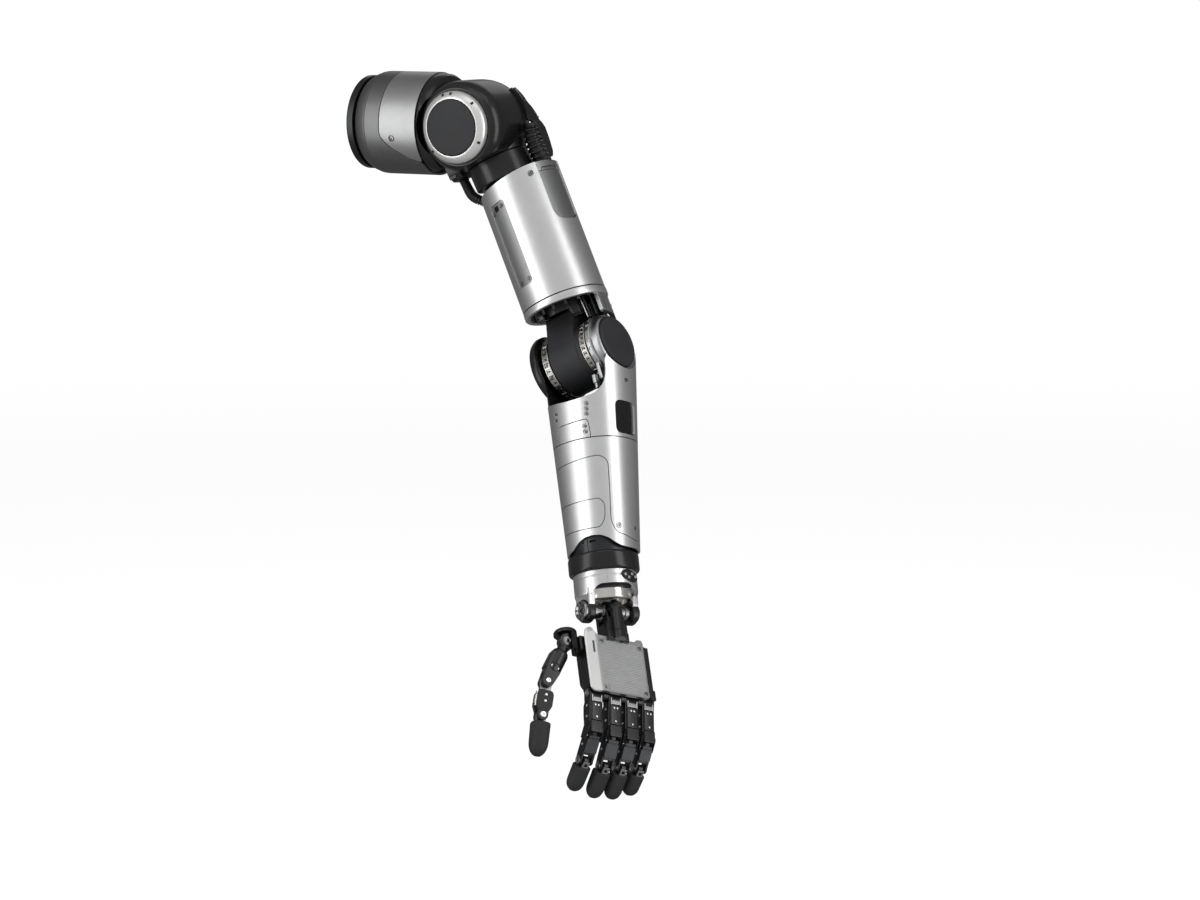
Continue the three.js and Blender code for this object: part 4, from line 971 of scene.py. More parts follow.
S0 = -36.5  # start of the front cover's right-hand panel
main_out = [(a, -102.8) for a in np.arange(-150, S0 + 0.1, 3)] + [(S0, -102.8)]
big = fillet([(-150, -129), (-128, -126.6), (-50, -122.4), (-40, -128), (-40.5, -190), (-36, -201)], 6, 5)
right_pts = fillet([(-52, -122.6), (-41, -124.6), (-40.2, -140), (-41.2, -196), (-31, -208), (6, -213.2), (30, -213.6)], 7, 6)
sub_top = fillet([(-150, -172.5), (-120, -169.6), (-56, -169.0), (-49, -176), (-50.5, -192), (-58, -200), (-125, -199.6), (-150, -200.4)], 5, 5)
front_out = [(a, -102.8) for a in np.arange(-158, 25, 3.0)] + [(25, -102.8)] + [(a, lower_edge(a)) for a in np.arange(25, -158.1, -3.0)] + [(-158, -222)]
lines = [
    (ribbon(fillet([(-158, -131.5), (-128, -127), (-52, -122.4), (-40.4, -129), (-40.4, -160), (-41.6, -194), (-33, -206.5), (5, -213), (27, -213.2)], 6, 6), 0.8, FK), 4),
    (ribbon(sub_top, 0.75, FK), 4),
]
cover_screws = [(-29, -199.1, 2.9), (9, -199.6, 2.0)]
cover_holes = lines + [(spot(a, z, r + 0.5, FK), 1.5) for a, z, r in cover_screws]
panel("vis_cover_front", B, "silver", FORE, fore_surface, front_out, 2.4, holes=cover_holes, bevel=0.45, k=FK, step=2.5, replaces=["forearm_cover_front"])
back_panel = [(a, -102.8) for a in np.arange(25.9, 201, 3.0)] + [(201.2, -102.8)] + [(a, lower_edge(a)) for a in np.arange(201.2, 25.8, -3.0)] + [(25.9, -222)]
back_lines = [(ribbon(fillet([(60, -118), (165, -118), (165, -205), (60, -205), (60, -119)], 5, 5), 0.8, FK), 1.9)]
panel("vis_cover_rear", B, "silver", FORE, fore_surface, back_panel, 2.4, holes=back_lines, bevel=0.45, k=FK, step=2.5, replaces=["forearm_cover_rear"])
# Near-black shell under the lower covers: painted shade in their grooves and screw holes.
piece("vis_cover_under", B, "painted_shade", FORE, shell(fore_surface, -101, -206, -2.5, -3.4, 96, 2))
cs = []
for a, z, r in cover_screws:
    p, n = on(fore_surface, a, z, -1.4)
    cs.append((p, n, r, 1.2))
for a, z in ((68, -111), (156, -111), (68, -213), (156, -213)):
    p, n = on(fore_surface, a, z, -0.1)
    cs.append((p, n, 2.0, 0.7))
screws("vis_cover_screws", B, FORE, cs)
# Wrist motor sleeve, seen under the cover's arch, with a row of small holes.
sleeve = lathe([(0, -228.4), (33.0, -228.4), (33.8, -227.6), (33.8, -206), (33.2, -205.4), (33.2, -196), (0, -196)], 160, "z", 0.4)
sh = [turn(shift(disc(1.1, 28, 40, "x", 16), (0, 0, z)), Z, a) for a, z in ((-118, -216), (-113, -216), (-104, -214.5), (-91, -213), (60, -216), (120, -216), (180, -216))]
sh += [turn(box(30, 40, -3.6, 3.6, -214.4, -212), Z, -72), turn(box(30, 40, -0.4, 0.4, -224, -205), Z, -82)]
piece("vis_sleeve", B, "black_metal", FORE, sleeve, cut=[both(*sh)], bevel=0.2, seg=1, replaces=["forearm_core"])

# ================================================================== wrist rotor
B = "wrist_rotor"
piece("vis_wrist_band", B, "black", ROTOR, lathe([(28, 41), (36.3, 41), (37.6, 42.2), (38.2, 43.8), (38.2, 57.4), (37.6, 59.6), (36.2, 60.8), (34.4, 60.8), (34.4, 55.8), (28, 55.8)], 176, "z", 0.6), smooth=40, replaces=["wrist_band"])
collar = lathe([(23.8, 14), (31.2, 14), (33.6, 16.4), (34.2, 19), (34.2, 33.6), (33.6, 34.0), (33.6, 34.8), (34.2, 35.2), (34.2, 40.6), (23.8, 40.6)], 176, "z", 0.4)
arch = turn(prism(fillet([(-25, -4), (-25, 14), (-17, 25), (17, 25.5), (26, 19), (26, -4)], 5, 6, closed=True), -60, -3, "y"), Z, -20)
arch2 = prism(fillet([(-18, 0), (-18, 26), (18, 26), (18, 0)], 6, 6, closed=True), 5, 60, "y")
slit = both(turn(box(32.4, 40, -0.35, 0.35, 10, 41), Z, -122), turn(box(32.6, 40, -0.35, 0.35, 29, 41), Z, -98))
piece("vis_wrist_collar", B, "silver", ROTOR, collar, cut=[arch, arch2, slit], bevel=0.8, seg=3, limit=42, smooth=38, replaces=["wrist_collar"])
piece("vis_wrist_cylinder", B, "steel", ROTOR, lathe([(0, 21), (22.8, 21), (22.8, 10.5), (26.5, 10.5), (27.6, 11.6), (27.6, 38), (0, 38)], 144, "z", 0.4), smooth=35)
# Near-black ring under the collar's arch: painted shade in the undercut.
piece("vis_wrist_under", B, "painted_shade", ROTOR, lathe([(27.7, 22), (31.5, 22), (31.5, 39), (27.7, 39)], 96, "z"))
piece("vis_wrist_drive", B, "steel", ROTOR, lathe([(0, 20), (16, 20), (19, 22), (19, 30.7), (9.7, 30.7), (9.7, 52), (0, 52)], 96, "z", 0.4), replaces=["wrist_drive"])
# Side lugs: silver webs down to black bearing housings; the right-hand web takes the darker silver_grey as painted
# shade.
for s, tag in ((-1, "left"), (1, "right")):
    x0, x1 = (-33, -24) if s < 0 else (24, 33)
    web = prism(fillet([(-13.2, 24), (13.2, 24), (12.6, 6), (9, 1), (-9, 1), (-12.6, 6)], 3, 4, closed=True), x0 + 0.6, x1 - 0.6, "x")
    piece("vis_lug_web_" + tag, B, "silver" if s < 0 else "silver2", ROTOR, web, bevel=1.2, seg=3)
    hs = lathe([(6.6, x0), (11.6, x0), (13.0, x0 + 1.4), (13.0, x1 - 1.4), (11.6, x1), (6.6, x1)], 96, "x", 0.5)
    piece("vis_lug_" + tag, B, "black", ROTOR, hs)
face = lathe([(0, -34.6), (3.0, -34.6), (3.4, -33.9), (5.0, -33.9), (5.4, -35.6), (7.2, -36.4), (8.6, -36.9), (9.7, -36.6), (10.5, -35.6), (10.5, -33.2), (0, -33.2)], 96, "x", 0.25, 2)
fcuts = [turn(box(-38, -35.2, -0.9, 0.9, 5.9, 9.4), X, 45 * i + 10) for i in range(8)]
piece("vis_wrist_bearing", B, "steel_dark", ROTOR, face, cut=[both(*fcuts)], bevel=0.15, seg=1, smooth=30, replaces=["wrist_bearing_cap"])
screws("vis_wrist_bearing_screw", B, ROTOR, [((-34.4, 0, 0), (-1, 0, 0), 3.0, 1.2)], "gunmetal")
rface = lathe([(0, 33.2), (10.5, 33.2), (10.5, 34.6), (9.4, 35.6), (7.6, 35.6), (7.0, 34.8), (4.2, 34.8), (3.8, 35.4), (0, 35.4)], 96, "x", 0.25, 2)
piece("vis_wrist_bearing_right", B, "black_metal", ROTOR, rface)
# Screw pad on the collar.
pad = lathe([(0, 0), (7.4, 0), (8.4, 1.0), (8.4, 3.4), (7.6, 4.1), (0, 4.1)], 64, "z", 0.3)
pad = (pad[0] * np.array([1.4, 0.76, 1.0]), pad[1])
pa = math.radians(-76)
pn = np.array((math.cos(pa), math.sin(pa), 0.0))
pp = pn * 31.6 + np.array((0, 0, 33.0))
piece("vis_wrist_pad", B, "black_metal", ROTOR, point_to(pad, pp, pn))
tx = np.array((-math.sin(pa), math.cos(pa), 0))
screws("vis_wrist_pad_screws", B, ROTOR, [(pp + pn * 4.0 + tx * dx + np.array((0, 0, dz)), pn, 1.9, 0.8) for dx, dz in ((-8.2, 0.8), (-3, -2.0), (2.4, 2.0), (7.6, -0.8))], "steel")

# ================================================================== wrist cross
B = "wrist_cross"
xb = both(box(-9, 9, -8.5, 8.5, -9, 9))
piece("vis_cross", B, "black_metal", CROSS, xb, bevel=1.4, seg=3, replaces=["wrist_cross"])
piece("vis_cross_shaft", B, "steel_dark", CROSS, lathe([(0, -32.6), (5.6, -32.6), (6.2, -32), (6.2, -24), (8.2, -23.6), (8.2, -18), (7.0, -17.6), (7.0, -12), (8.6, -11), (8.6, 11), (7.0, 12), (7.0, 17.6), (8.2, 18), (8.2, 23.6), (6.2, 24), (6.2, 32), (5.6, 32.6), (0, 32.6)], 64, "x", 0.3))
piece("vis_cross_pin", B, "steel", CROSS, lathe([(0, -9.3), (5, -9.3), (5, 9.3), (0, 9.3)], 48, "y", 0.2))

# ================================================================== hand
B = "hand"
KY, KZ = 6, -99.5
body = prism(fillet([(-36, -5), (40, -5), (40, 14), (34, 20), (-30, 20), (-36, 14)], 3, 3, closed=True), -91.5, -37, "z")
piece("vis_chassis", B, "black", HAND, body, bevel=1.4, seg=3, replaces=["palm_chassis"])
piece("vis_chassis_bridge", B, "black_metal", HAND, both(box(-13, 13, -14.2, 18, -40, -30), box(-24, -12.5, -3, 12, -38, -31), box(12.5, 27, -3, 12, -38, -32)), bevel=1.2, seg=3)
piece("vis_post", B, "black", HAND, shift(lathe([(0, -40), (7.2, -40), (7.2, -31), (6.4, -30), (6.4, -3), (7.0, -2.4), (7.0, 2.0), (6.0, 3.2), (0, 3.2)], 64, "z", 0.3), (0, -14.4, 0)), smooth=40)
piece("vis_post_eye", B, "black_metal", HAND, both(lathe([(0, -16.4), (7.6, -16.4), (7.6, -9.4), (0, -9.4)], 64, "y", 0.8), lathe([(0, 9.2), (7.6, 9.2), (7.6, 15), (0, 15)], 64, "y", 0.8)))
piece("vis_post_rear", B, "black", HAND, box(-7.4, 7.4, 9.4, 14.8, -38, 0), bevel=1.2)
piece("vis_post_side", B, "black", HAND, both(box(4, 13.2, -12.8, 6, -41, -19.5), box(-13.2, -4, -12.8, 6, -41, -19.5), box(6.4, 10.4, -12.6, -9.4, -37, -6), box(-11, -7, -12.4, -9.4, -37, -12)), bevel=1.0)
lugs = both(*[prism(fillet([(KY - 6.6, -88)] + arc(KY, KZ, 6.6, 180, 360, 16) + [(KY + 6.6, -88)], 0.1, 1, closed=True), a, b, "x") for a, b in ((-19.6, -13.9), (3, 8), (24, 29.4))])
piece("vis_knuckle_lugs", B, "black_metal", HAND, lugs, bevel=0.5)
piece("vis_knuckle_shaft", B, "steel", HAND, shift(lathe([(0, -37), (2.1, -37), (2.5, -36.4), (2.5, 43.9), (2.1, 44.5), (0, 44.5)], 32, "x"), (0, KY, KZ)), replaces=["knuckle_shaft"])
# Knuckle covers under the plate's lower edge.
piece("vis_knuckle_bar", B, "black", HAND, both(box(-35, 39.4, -4.6, 8, -93, -90), box(-35.6, 44, -5.4, -1.9, -100.6, -89)), bevel=0.9)
# Back plate: flat field with fine transverse grooves, a sloped left edge, four corner screws and a slot.
FRONT = -9.6
cs_pl = [(-39.6, -5.2), (-39.6, -6.0), (-37.6, -7.0), (-27.4, -9.2), (-25.4, -9.6), (32.3, -9.6), (33.5, -8.6), (33.5, -5.3)]
plate_sec = [(x, y) for x, y in cs_pl]
field = prism(plate_sec, -102.5, -27, "z")
outline = fillet([(-39.5, -37), (-37.4, -29.6), (-34, -27.2), (-30, -27.8), (-25.6, -36.0), (22.6, -37.4), (25, -33.4), (31, -33.2), (33.4, -38), (33.5, -99.6), (30.6, -102.5), (-35.6, -102.5), (-39.5, -98.6)], 1.8, 4, closed=True)
grooves = [box(-24.6, 31.6, -12, FRONT + 0.5, z, z + 0.62) for z in np.arange(-99.6, -40.5, 2.05)]
spots = [(-20.4, -42.6), (27.6, -43.4), (-20.2, -96.8), (28.4, -97.2)]
pads = [shift(disc(4.0, FRONT - 1, FRONT + 0.5, "y", 40), (x, 0, z)) for x, z in spots]
sinks = [shift(disc(2.7, FRONT - 1, FRONT + 1.7, "y", 32), (x, 0, z)) for x, z in spots]
slot_p = box(-31.6, -29.4, -12, -4, -57.5, -43.5)
# The sloped left edge is its own piece in the whiter ring_white metal: a painted highlight where the left light falls
# on it.
piece("vis_back_plate_lit_edge", B, "ring_white", HAND, field, keep=[prism(outline, -14, -4, "y"), box(-60, -27.1, -20, 20, -120, 0)], cut=[slot_p], bevel=0.3, seg=2, limit=45, smooth=28)
piece("vis_back_plate", B, "brushed", HAND, field, keep=[prism(outline, -14, -4, "y"), box(-26.9, 60, -20, 20, -120, 0)], cut=[both(*grooves), both(*pads), both(*sinks), slot_p], bevel=0.22, seg=1, limit=45, smooth=28, replaces=["hand_back_plate"])
screws("vis_back_screws", B, HAND, [((x, FRONT + 1.6, z), (0, -1, 0), 2.2, 1.1) for x, z in spots], "steel_dark")
# Near-black block behind the plate's slot: painted shade inside it.
piece("vis_back_slot_shade", B, "painted_shade", HAND, box(-32, -29, -6.2, -5.0, -58, -43))
piece("vis_back_ears", B, "silver", HAND, both(shift(disc(2.6, -9.4, -5.4, "y", 32), (-33.2, 0, -31.2)), shift(disc(2.4, -9.4, -5.4, "y", 32), (28, 0, -36.6))), bevel=0.5)
piece("vis_side_rail", B, "black_metal", HAND, both(box(34.4, 39.6, -8.4, -4.6, -100.5, -40), box(-36.6, -34.5, -4.9, -2, -96, -46)), bevel=0.9, seg=3)
# Palm pad with moulded grip ribs.
pad_cuts = [box(-28 + i * 8, -27 + i * 8, 22.6, 25, -86, -44) for i in range(8)]
piece("vis_palm_pad", B, "rubber", HAND, prism(rrect(-32, 36, -88, -42, 8, 8), 20.1, 23.5, "y"), cut=[both(*pad_cuts)], bevel=0.7, seg=3, replaces=["palm_pad"])
screws("vis_palm_screws", B, HAND, [((x, 20, z), (0, 1, 0), 1.9, 0.8) for x in (-29, 32) for z in (-40.4, -89.6)])
# Thumb root housing.
CX, CY, CZ = -54, 8, -42
piece("vis_thumb_base", B, "black", HAND, shift(lathe([(0, 8.6), (10.6, 8.6), (12.5, 7.6), (12.5, 10.8), (11.2, 12.6), (8.0, 13), (0, 13)], 96, "z", 0.8), (CX, CY, CZ)), replaces=["thumb_base"])
wall = lathe([(10.7, -12), (12.5, -12), (12.5, 9), (10.7, 9)], 96, "z", 0.3)
piece("vis_thumb_shell", B, "black", HAND, shift(wall, (CX, CY, CZ)), cut=[box(CX - 20, CX, CY - 20, CY + 20, CZ - 20, CZ + 20), box(CX - 20, CX + 11, CY - 0.5, CY + 20, CZ - 20, CZ + 20)], bevel=0.4)
piece("vis_thumb_arm", B, "black_metal", HAND, box(CX + 10.5, -35.6, -2.6, 16.4, CZ - 11, CZ + 5.6), bevel=1.6, seg=3)
piece("vis_thumb_ring", B, "steel_dark", HAND, shift(lathe([(5.4, 12.6), (8.4, 12.6), (8.4, 13.0), (5.4, 13.0)], 64, "z"), (CX, CY, CZ)))
screws("vis_thumb_base_screws", B, HAND, [((CX + 2.6 * math.cos(math.radians(a)), CY + 2.6 * math.sin(math.radians(a)), CZ + 12.8), (0, 0, 1), 1.2, 0.5) for a in (0, 120, 240)])

# ================================================================== fingers
FINGERS = [
    ("index", -28.6, 38.5, 34, 36, 14.4, 12.5, 30, 10),
    ("middle", -5, 40, 34.5, 37.5, 14.4, 12.5, 26, 13),
    ("ring", 16, 40.5, 33, 36.5, 14.4, 11.5, 27, 11),
    ("little", 37, 40.5, 31, 32, 13.2, 11, 27.5, 16),
]


def tip_mesh(w, d, l, top, cy=0.6, flat=0.55, rows=30, seg=48):
    """Moulded fingertip from z=-top down to z=-l: blunt and flattened, with a rolled upper lip."""
    V, F = [], []
    prof = []
    for k in range(rows + 1):
        t = k / rows
        z = -top - (l - top) * t
        e = 1.0 if t < flat else math.sqrt(max(0.0, 1 - ((t - flat) / (1 - flat)) ** 2.6))
        prof.append((z, e, lerp(1, 0.93, t)))
    ringz = [(-top - 0.2, 0.80, 1), (-top, 0.90, 1), (-top - 0.5, 0.975, 1)] + [(z - 0.9 * (1 - (z + top) / (top - l)) if i == 0 else z, e, q) for i, (z, e, q) in enumerate(prof)]
    ringz = [(-top - 0.3, 0.78, 1), (-top, 0.88, 1), (-top - 0.35, 0.965, 1), (-top - 1.2, 1.0, 1)] + [p for p in prof if p[0] < -top - 1.6]
    n = 2.6
    for z, e, q in ringz:
        for i in range(seg):
            c, s = squircle(2 * math.pi * i / seg, n)
            V.append((w * e * q * c, cy + d * e * s, z))
    for k in range(len(ringz) - 1):
        for i in range(seg):
            j = (i + 1) % seg
            F.append((k * seg + i, k * seg + j, (k + 1) * seg + j, (k + 1) * seg + i))
    F.append(tuple(range(seg - 1, -1, -1)))
    F.append(tuple((len(ringz) - 1) * seg + i for i in range(seg)))
    return np.array(V), F


for name, x, l1, l2, l3, w, a1, a2, a3 in FINGERS:
    h = w / 2 + 0.9
    g1 = HAND.at((x, KY, KZ), (X, a1))
    g2 = g1.at((0, 0, -l1), (X, a2))
    g3 = g2.at((0, 0, -l2), (X, a3))
    b1, b2, b3 = name + "_proximal", name + "_middle", name + "_distal"
    # Proximal link: two side plates, a crowned dorsal cover, a dark core.
    side = fillet(arc(0, 0, 6.2, 0, 180, 14) + [(-5.2, -10), (-5.0, -l1 + 12)] + arc(0, -l1, 5.5, 180, 360, 14) + [(7.2, -l1 + 15.5), (7.2, -13.5), (5.4, -9.5)], 2, 3, closed=True)
    plates = both(prism(side, -h, -h + 2.3, "x"), prism(side, h - 2.3, h, "x"))
    piece("vis_%s_prox_sides" % name, b1, "black_metal", g1, plates, bevel=0.45, seg=2, replaces=[b1])
    cover_sec = fillet([(-h + 0.9, -4.2), (-h + 1.2, -6.4), (-h + 3.2, -7.2), (h - 3.2, -7.2), (h - 1.2, -6.4), (h - 0.9, -4.2)], 1.2, 4)
    piece("vis_%s_prox_cover" % name, b1, "black", g1, prism(cover_sec, -l1 + 8.6, -10.5, "z"), bevel=0.7, seg=3)
    piece("vis_%s_prox_core" % name, b1, "black", g1, both(box(-h + 2.2, h - 2.2, -5, 5.2, -l1 + 7.6, -7.5), turn(box(-h + 2.4, h - 2.4, -5.8, 4.8, -7, 4.2), X, -6)), bevel=0.8)
    boss = both(shift(lathe([(0, 0), (4.4, 0), (4.4, 0.35), (3.8, 0.6), (2.6, 0.6), (2.2, 0.1), (0, 0.1)], 32, "x"), (h, 0, 0)), turn(shift(lathe([(0, 0), (4.4, 0), (4.4, 0.35), (3.8, 0.6), (2.6, 0.6), (2.2, 0.1), (0, 0.1)], 32, "x"), (h, 0, 0)), Z, 180))
    piece("vis_%s_prox_boss" % name, b1, "steel_dark", g1, both(boss, shift(boss, (0, 0, -l1))))
    yoke = both(box(-h + 1.6, h - 1.6, -7.0, -5.2, -9.4, -5.0), box(-h + 1.6, -h + 3.4, -7.2, -3, -10, -2.4), box(h - 3.4, h - 1.6, -7.2, -3, -10, -2.4))
    piece("vis_%s_knuckle_clip" % name, b1, "steel_dark", g1, yoke, bevel=0.4, seg=2)
    screws("vis_%s_prox_screws" % name, b1, g1, [((-1.9, -7.15, -13.4), (0, -1, 0), 1.05, 0.4), ((1.9, -7.15, -13.4), (0, -1, 0), 1.05, 0.4), ((0, -7.15, -l1 + 12.4), (0, -1, 0), 1.05, 0.4)] +
           [((s * (h + 0.0), 0, z), (s, 0, 0), 1.5, 0.5) for s in (-1, 1) for z in (-l1 * 0.36, -l1 * 0.66)], "steel")
    # Middle link.
    tongue = prism(arc(0, 0, 5.2, 0, 180, 14) + [(-5.2, -8), (5.2, -8)], -2.6, 2.6, "x")
    piece("vis_%s_mid_tongue" % name, b2, "black", g2, tongue, bevel=0.5, replaces=[b2])
    ear = prism(arc(0, 0, 5.2, 0, 180, 14) + [(-5.0, -11.5), (5.0, -11.5)], h + 0.65, h + 1.6, "x")
    piece("vis_%s_mid_ears" % name, b2, "black_metal", g2, both(ear, turn(prism(arc(0, 0, 5.2, 0, 180, 14) + [(-5.0, -11.5), (5.0, -11.5)], -h - 1.6, -h - 0.65, "x"), X, 0)), bevel=0.4)
    clevis = box(-h + 1.6, h - 1.6, -6.8, -4.4, -9.6, -5.4)
    piece("vis_%s_prox_knuckle" % name, b1, "black", g1, box(-h + 0.8, h - 0.8, -7.9, -3.4, -l1 - 4.6, -l1 + 8.2), bevel=0.9, seg=3)
    piece("vis_%s_mid_clevis" % name, b2, "black_metal", g2, clevis, bevel=0.6, seg=2)
    mid_side = fillet([(-4.6, -8.2)] + [(-5.2, -l2 + 7)] + arc(0, -l2, 4.9, 180, 360, 14) + [(5.4, -l2 + 8), (5.2, -8.2)], 2.4, 3, closed=True)
    piece("vis_%s_mid_sides" % name, b2, "black_metal", g2, both(prism(mid_side, -h + 0.1, -h + 2.5, "x"), prism(mid_side, h - 2.5, h - 0.1, "x")), bevel=0.45)
    piece("vis_%s_mid_core" % name, b2, "black", g2, box(-h + 2.3, h - 2.3, -4.6, 5.0, -l2 + 6.8, -8.2), bevel=0.8)
    cover = prism(rrect(-h + 0.5, h - 0.5, -l2 + 9.4, -9.2, 1.3, 4), -6.9, -5.0, "y")
    piece("vis_%s_mid_cover" % name, b2, "plate_dark", g2, cover, bevel=0.55, seg=3)
    piece("vis_%s_mid_boss" % name, b2, "steel_dark", g2, shift(boss, (0, 0, -l2)))
    screws("vis_%s_mid_screws" % name, b2, g2, [((s * (h - 0.1), 0, -l2 * 0.5), (s, 0, 0), 1.4, 0.5) for s in (-1, 1)], "steel")
    # Distal link: small square steel bracket over the tip's root.
    piece("vis_%s_dist_core" % name, b3, "black_metal", g3, prism(arc(0, 0, 4.7, 0, 180, 12) + [(-4.2, -9), (4.2, -9)], -2.6, 2.6, "x"), bevel=0.5, replaces=[b3])
    bracket = box(-3.9, 3.9, -6.3, -3.6, -7.6, 0.7)
    piece("vis_%s_dist_bracket" % name, b3, "steel_dark", g3, bracket, cut=[box(-1.7, 1.7, -8, -2, -5.0, -1.7)], bevel=0.35, seg=2)
    # Near-black block in the bracket's hole: painted shade inside it.
    piece("vis_%s_dist_hole" % name, b3, "painted_shade", g3, box(-2.0, 2.0, -4.6, -3.8, -5.4, -1.3))
    piece("vis_%s_tip" % name, b3, "rubber", g3, tip_mesh(h + 1.5, 8.4, l3, 6.2), smooth=60, replaces=[name + "_tip"])

# ================================================================== thumb
zA = -np.array([-0.43, 0.26, -0.86])
zA /= np.linalg.norm(zA)
yA = np.array([0.22, 0.95, 0.18])
yA -= (yA @ zA) * zA
yA /= np.linalg.norm(yA)
T0 = Frame(HAND.t + HAND.R @ np.array((CX, CY, CZ)), HAND.R @ np.stack([np.cross(yA, zA), yA, zA], 1))
L1, L2, L3 = 52, 38, 44
T1 = T0.at((0, 0, -L1), (Y, -17))
T2 = T1.at((0, 0, -L2), (Y, -3))
B = "thumb_metacarpal"
piece("vis_thumb_root", B, "black", T0, both(lathe([(0, -5.5), (9.0, -5.5), (9.0, 5.5), (0, 5.5)], 64, "y", 1.2), lathe([(0, -16), (6.4, -16), (6.8, -14), (6.0, -12), (6.0, 2), (0, 2)], 64, "z", 0.5)), replaces=[B])
piece("vis_thumb_root_cap", B, "steel_dark", T0, both(shift(lathe([(0, 0), (5.2, 0), (5.2, 0.5), (4.2, 0.9), (2.6, 0.9), (2.2, 0.3), (0, 0.3)], 48, "y", 0.1), (0, 5.5, 0)), turn(shift(lathe([(0, 0), (5.2, 0), (5.2, 0.5), (4.2, 0.9), (2.6, 0.9), (2.2, 0.3), (0, 0.3)], 48, "y", 0.1), (0, 5.5, 0)), X, 180)))
barrel = lathe([(0, -L1 + 12), (8.2, -L1 + 12), (9.2, -L1 + 13), (9.2, -L1 + 20), (8.8, -L1 + 20.4), (8.8, -L1 + 21), (9.2, -L1 + 21.4), (9.2, -17), (8.0, -13.4), (0, -13.4)], 96, "z", 0.5)
piece("vis_thumb_meta_barrel", B, "black", T0, barrel)
piece("vis_thumb_meta_body", B, "black_metal", T0, box(-10, 5, -7.4, 7.4, -L1 + 13, -17), bevel=1.8, seg=3)
fork = prism(fillet([(-8.4, -L1 + 15)] + arc(0, -L1, 6.7, 180, 360, 16) + [(8.4, -L1 + 15)], 2, 3, closed=True), -8.3, 8.3, "y")
piece("vis_thumb_meta_fork", B, "black", T0, fork, cut=[box(-20, 20, -3.6, 3.6, -L1 - 12, -L1 + 8.4)], bevel=0.7, seg=3)
screws("vis_thumb_meta_screws", B, T0, [((0, s * 8.2, -L1), (0, s, 0), 2.6, 0.7) for s in (-1, 1)] + [((-9.1, yy, z), (-1, 0, 0), 1.3, 0.5) for yy in (-3.4, 3.4) for z in (-23, -L1 + 18)] +
       [((s * 3.4, -7.5, -L1 + 17), (0, -1, 0), 1.3, 1.0) for s in (-1, 1)], "steel")
B = "thumb_proximal"
piece("vis_thumb_prox_tongue", B, "steel_dark", T1, prism(arc(0, 0, 6.4, 0, 180, 16) + [(-6.2, -10), (6.2, -10)], -2.9, 2.9, "y"), bevel=0.6, replaces=[B])
sideT = fillet([(-6.4, -10.6), (6.4, -10.6), (8.8, -14), (8.8, -L2 + 11), (5.8, -L2 + 4), (-5.8, -L2 + 4), (-8.8, -L2 + 11), (-8.8, -14)], 2, 4, closed=True)
piece("vis_thumb_prox_sides", B, "cap", T1, both(prism(sideT, -8.0, -4.6, "y"), prism(sideT, 4.6, 8.0, "y")), bevel=0.9, seg=3)
piece("vis_thumb_prox_core", B, "black_metal", T1, box(-6.2, 6.2, -4.8, 4.8, -L2 + 8, -10.2), bevel=0.9)
piece("vis_thumb_prox_rod", B, "steel", T1, both(shift(lathe([(0, -L2 + 10), (2.6, -L2 + 10), (2.6, -L2 + 13), (3.4, -L2 + 13.6), (3.4, -16), (2.6, -15.4), (2.6, -12), (0, -12)], 40, "z", 0.3), (-6.6, 0, 0)), shift(lathe([(0, -L2 + 10), (2.6, -L2 + 10), (2.6, -12), (0, -12)], 40, "z", 0.3), (6.2, 0, 0))))
lugT = prism(fillet([(-5.6, -L2 + 12)] + arc(0, -L2, 5.9, 180, 360, 16) + [(5.6, -L2 + 12)], 1, 3, closed=True), -7.6, 7.6, "y")
piece("vis_thumb_prox_fork", B, "black", T1, lugT, cut=[box(-20, 20, -3.3, 3.3, -L2 - 12, -L2 + 7.4)], bevel=0.6)
screws("vis_thumb_prox_screws", B, T1, [((0, s * 7.6, -L2), (0, s, 0), 3.3, 0.8) for s in (-1, 1)] + [((0, s * 7.95, z), (0, s, 0), 1.4, 0.5) for s in (-1, 1) for z in (-16, -L2 + 15)], "steel")
B = "thumb_distal"
piece("vis_thumb_dist_core", B, "steel_dark", T2, prism(arc(0, 0, 5.6, 0, 180, 14) + [(-5.0, -9.4), (5.0, -9.4)], -2.8, 2.8, "y"), bevel=0.5, replaces=[B])
piece("vis_thumb_tip", B, "rubber", T2, (lambda g: (g[0] + np.array((0.6, 0, 0)), g[1]))(tip_mesh(10.4, 10.4, L3, 7.6, cy=0.0, flat=0.5)), smooth=60, replaces=["thumb_tip"])

# ------------------------------------------------------------------ stage, light, camera
for c in (TEMP,):
    bpy.context.scene.collection.children.unlink(c)
    bpy.data.collections.remove(c)


def stage_mat():
    """Pale matt studio paint, partly self-lit so that the ground stays even from every side."""
    m = bpy.data.materials.new("stage_white")
    m.use_nodes = True
    b = m.node_tree.nodes["Principled BSDF"]
    b.inputs["Base Color"].default_value = (0.55, 0.55, 0.55, 1)
    b.inputs["Roughness"].default_value = 0.9
    b.inputs["Specular IOR Level"].default_value = 0.0
    b.inputs["Emission Color"].default_value = (1, 1, 1, 1)
    b.inputs["Emission Strength"].default_value = 0.80
    return m


az, el = math.radians(28.5), math.radians(9.4)
back = np.array((math.sin(az) * math.cos(el), -math.cos(az) * math.cos(el), math.sin(el)))
right = np.array((math.cos(az), math.sin(az), 0.0))
upv = np.cross(back, right)
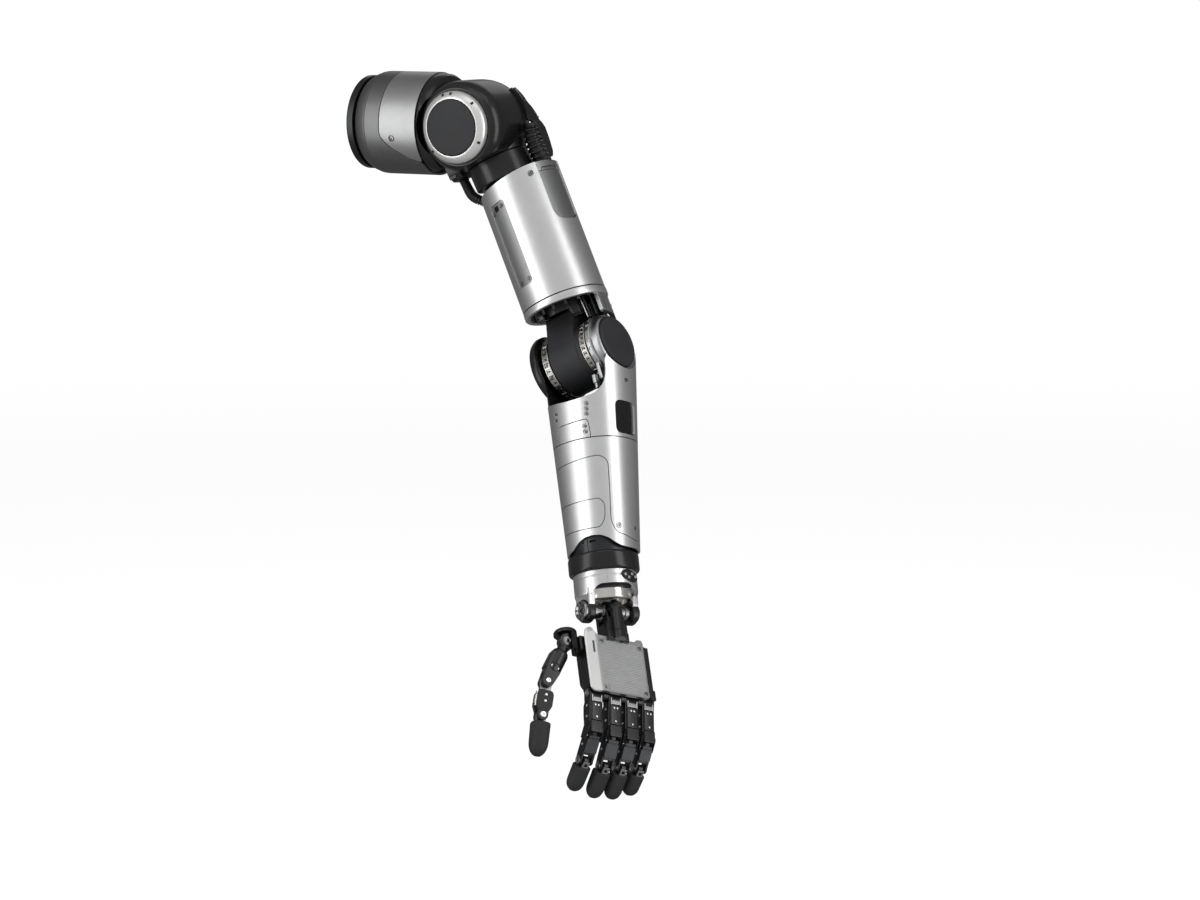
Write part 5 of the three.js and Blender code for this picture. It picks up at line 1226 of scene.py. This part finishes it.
# Round studio: a floor that curves up into a wall on every side, well outside any camera.
prof = [(0.0, -1.1), (2.0, -1.1), (4.6, -1.1)] + [(4.6 + 2.4 * math.sin(t), -1.1 + 2.4 * (1 - math.cos(t))) for t in np.linspace(0.1, math.pi / 2, 16)] + [(7.0, 7.0)]
V, F, seg = [(0.2, 0.0, -1.1)], [], 96
for r_, z_ in prof[1:]:
    V += [(0.2 + r_ * math.cos(2 * math.pi * i / seg), r_ * math.sin(2 * math.pi * i / seg), z_) for i in range(seg)]
F += [(0, 1 + i, 1 + (i + 1) % seg) for i in range(seg)]
for k_ in range(len(prof) - 2):
    a_, b_ = 1 + k_ * seg, 1 + (k_ + 1) * seg
    F += [(a_ + i, b_ + i, b_ + (i + 1) % seg, a_ + (i + 1) % seg) for i in range(seg)]
me = bpy.data.meshes.new("studio")
me.from_pydata(V, [], F)
for p_ in me.polygons:
    p_.use_smooth = True
me.materials.append(stage_mat())
cyc = bpy.data.objects.new("studio", me)
bpy.context.scene.collection.objects.link(cyc)
cyc.visible_glossy = False
cyc.visible_diffuse = False

# Soft surround, darker behind the arm than in front of it.
WORLD_REAR, WORLD_FRONT = 0.14, 0.50
world = bpy.data.worlds.new("studio")
bpy.context.scene.world = world
world.use_nodes = True
wn = world.node_tree
bg = wn.nodes["Background"]
tc = wn.nodes.new("ShaderNodeTexCoord")
dp = wn.nodes.new("ShaderNodeVectorMath")
dp.operation = "DOT_PRODUCT"
dp.inputs[1].default_value = tuple(float(v) for v in back)
wn.links.new(tc.outputs["Generated"], dp.inputs[0])
ramp = wn.nodes.new("ShaderNodeMapRange")
ramp.inputs["From Min"].default_value, ramp.inputs["From Max"].default_value = -0.5, 0.9
ramp.inputs["To Min"].default_value, ramp.inputs["To Max"].default_value = WORLD_REAR, WORLD_FRONT
wn.links.new(dp.outputs["Value"], ramp.inputs["Value"])
wn.links.new(ramp.outputs[0], bg.inputs["Strength"])
bg.inputs["Color"].default_value = (1, 1, 1, 1)


def area(name, pos, target, size, radiance):
    """A soft box of the given radiance, out of the camera's sight."""
    li = bpy.data.lights.new(name, "AREA")
    li.shape = "RECTANGLE"
    li.size, li.size_y = size
    li.energy = radiance * math.pi * size[0] * size[1]
    ob = bpy.data.objects.new(name, li)
    v = np.array(pos, float) - np.array(target, float)
    v /= np.linalg.norm(v)
    r_ = np.cross((0, 0, 1), v)
    r_ /= np.linalg.norm(r_)
    u_ = np.cross(v, r_)
    ob.matrix_world = Matrix([[r_[0], u_[0], v[0], pos[0]], [r_[1], u_[1], v[1], pos[1]], [r_[2], u_[2], v[2], pos[2]], [0, 0, 0, 1]])
    bpy.context.scene.collection.objects.link(ob)
    ob.visible_camera = False
    return ob


def place(deg, r_, z_):
    """A point at an angle to the camera's right, r_ metres away and z_ above the arm's middle."""
    t_ = math.radians(deg)
    flat = np.array((math.sin(az), -math.cos(az), 0.0))
    c = np.array((0.22, -0.03, -0.3))
    return tuple(c + right * (r_ * math.sin(t_)) + flat * (r_ * math.cos(t_)) + np.array((0, 0, z_)))


mid = (0.22, -0.03, -0.3)
area("key_left", place(-60, 2.2, 0.35), mid, (0.85, 3.0), 2.1)
area("key_right", place(61, 2.2, 0.35), mid, (0.85, 3.0), 2.2)
area("top", place(8, 0.9, 2.4), mid, (2.2, 1.2), 0.8)
area("rear", place(172, 2.4, 1.6), mid, (1.8, 1.2), 0.55)

cam = bpy.data.cameras.new("camera")
cam.sensor_width = 36.0
cam.lens = 36.0 * 2909 / 1200
cam.clip_start, cam.clip_end = 0.05, 50
co_ = bpy.data.objects.new("camera", cam)
cp = (1.79292, -2.76441, 0.16972)
co_.matrix_world = Matrix([[right[0], upv[0], back[0], cp[0]], [right[1], upv[1], back[1], cp[1]], [right[2], upv[2], back[2], cp[2]], [0, 0, 0, 1]])
bpy.context.scene.collection.objects.link(co_)
bpy.context.scene.camera = co_
bpy.context.scene.view_settings.view_transform = "Standard"
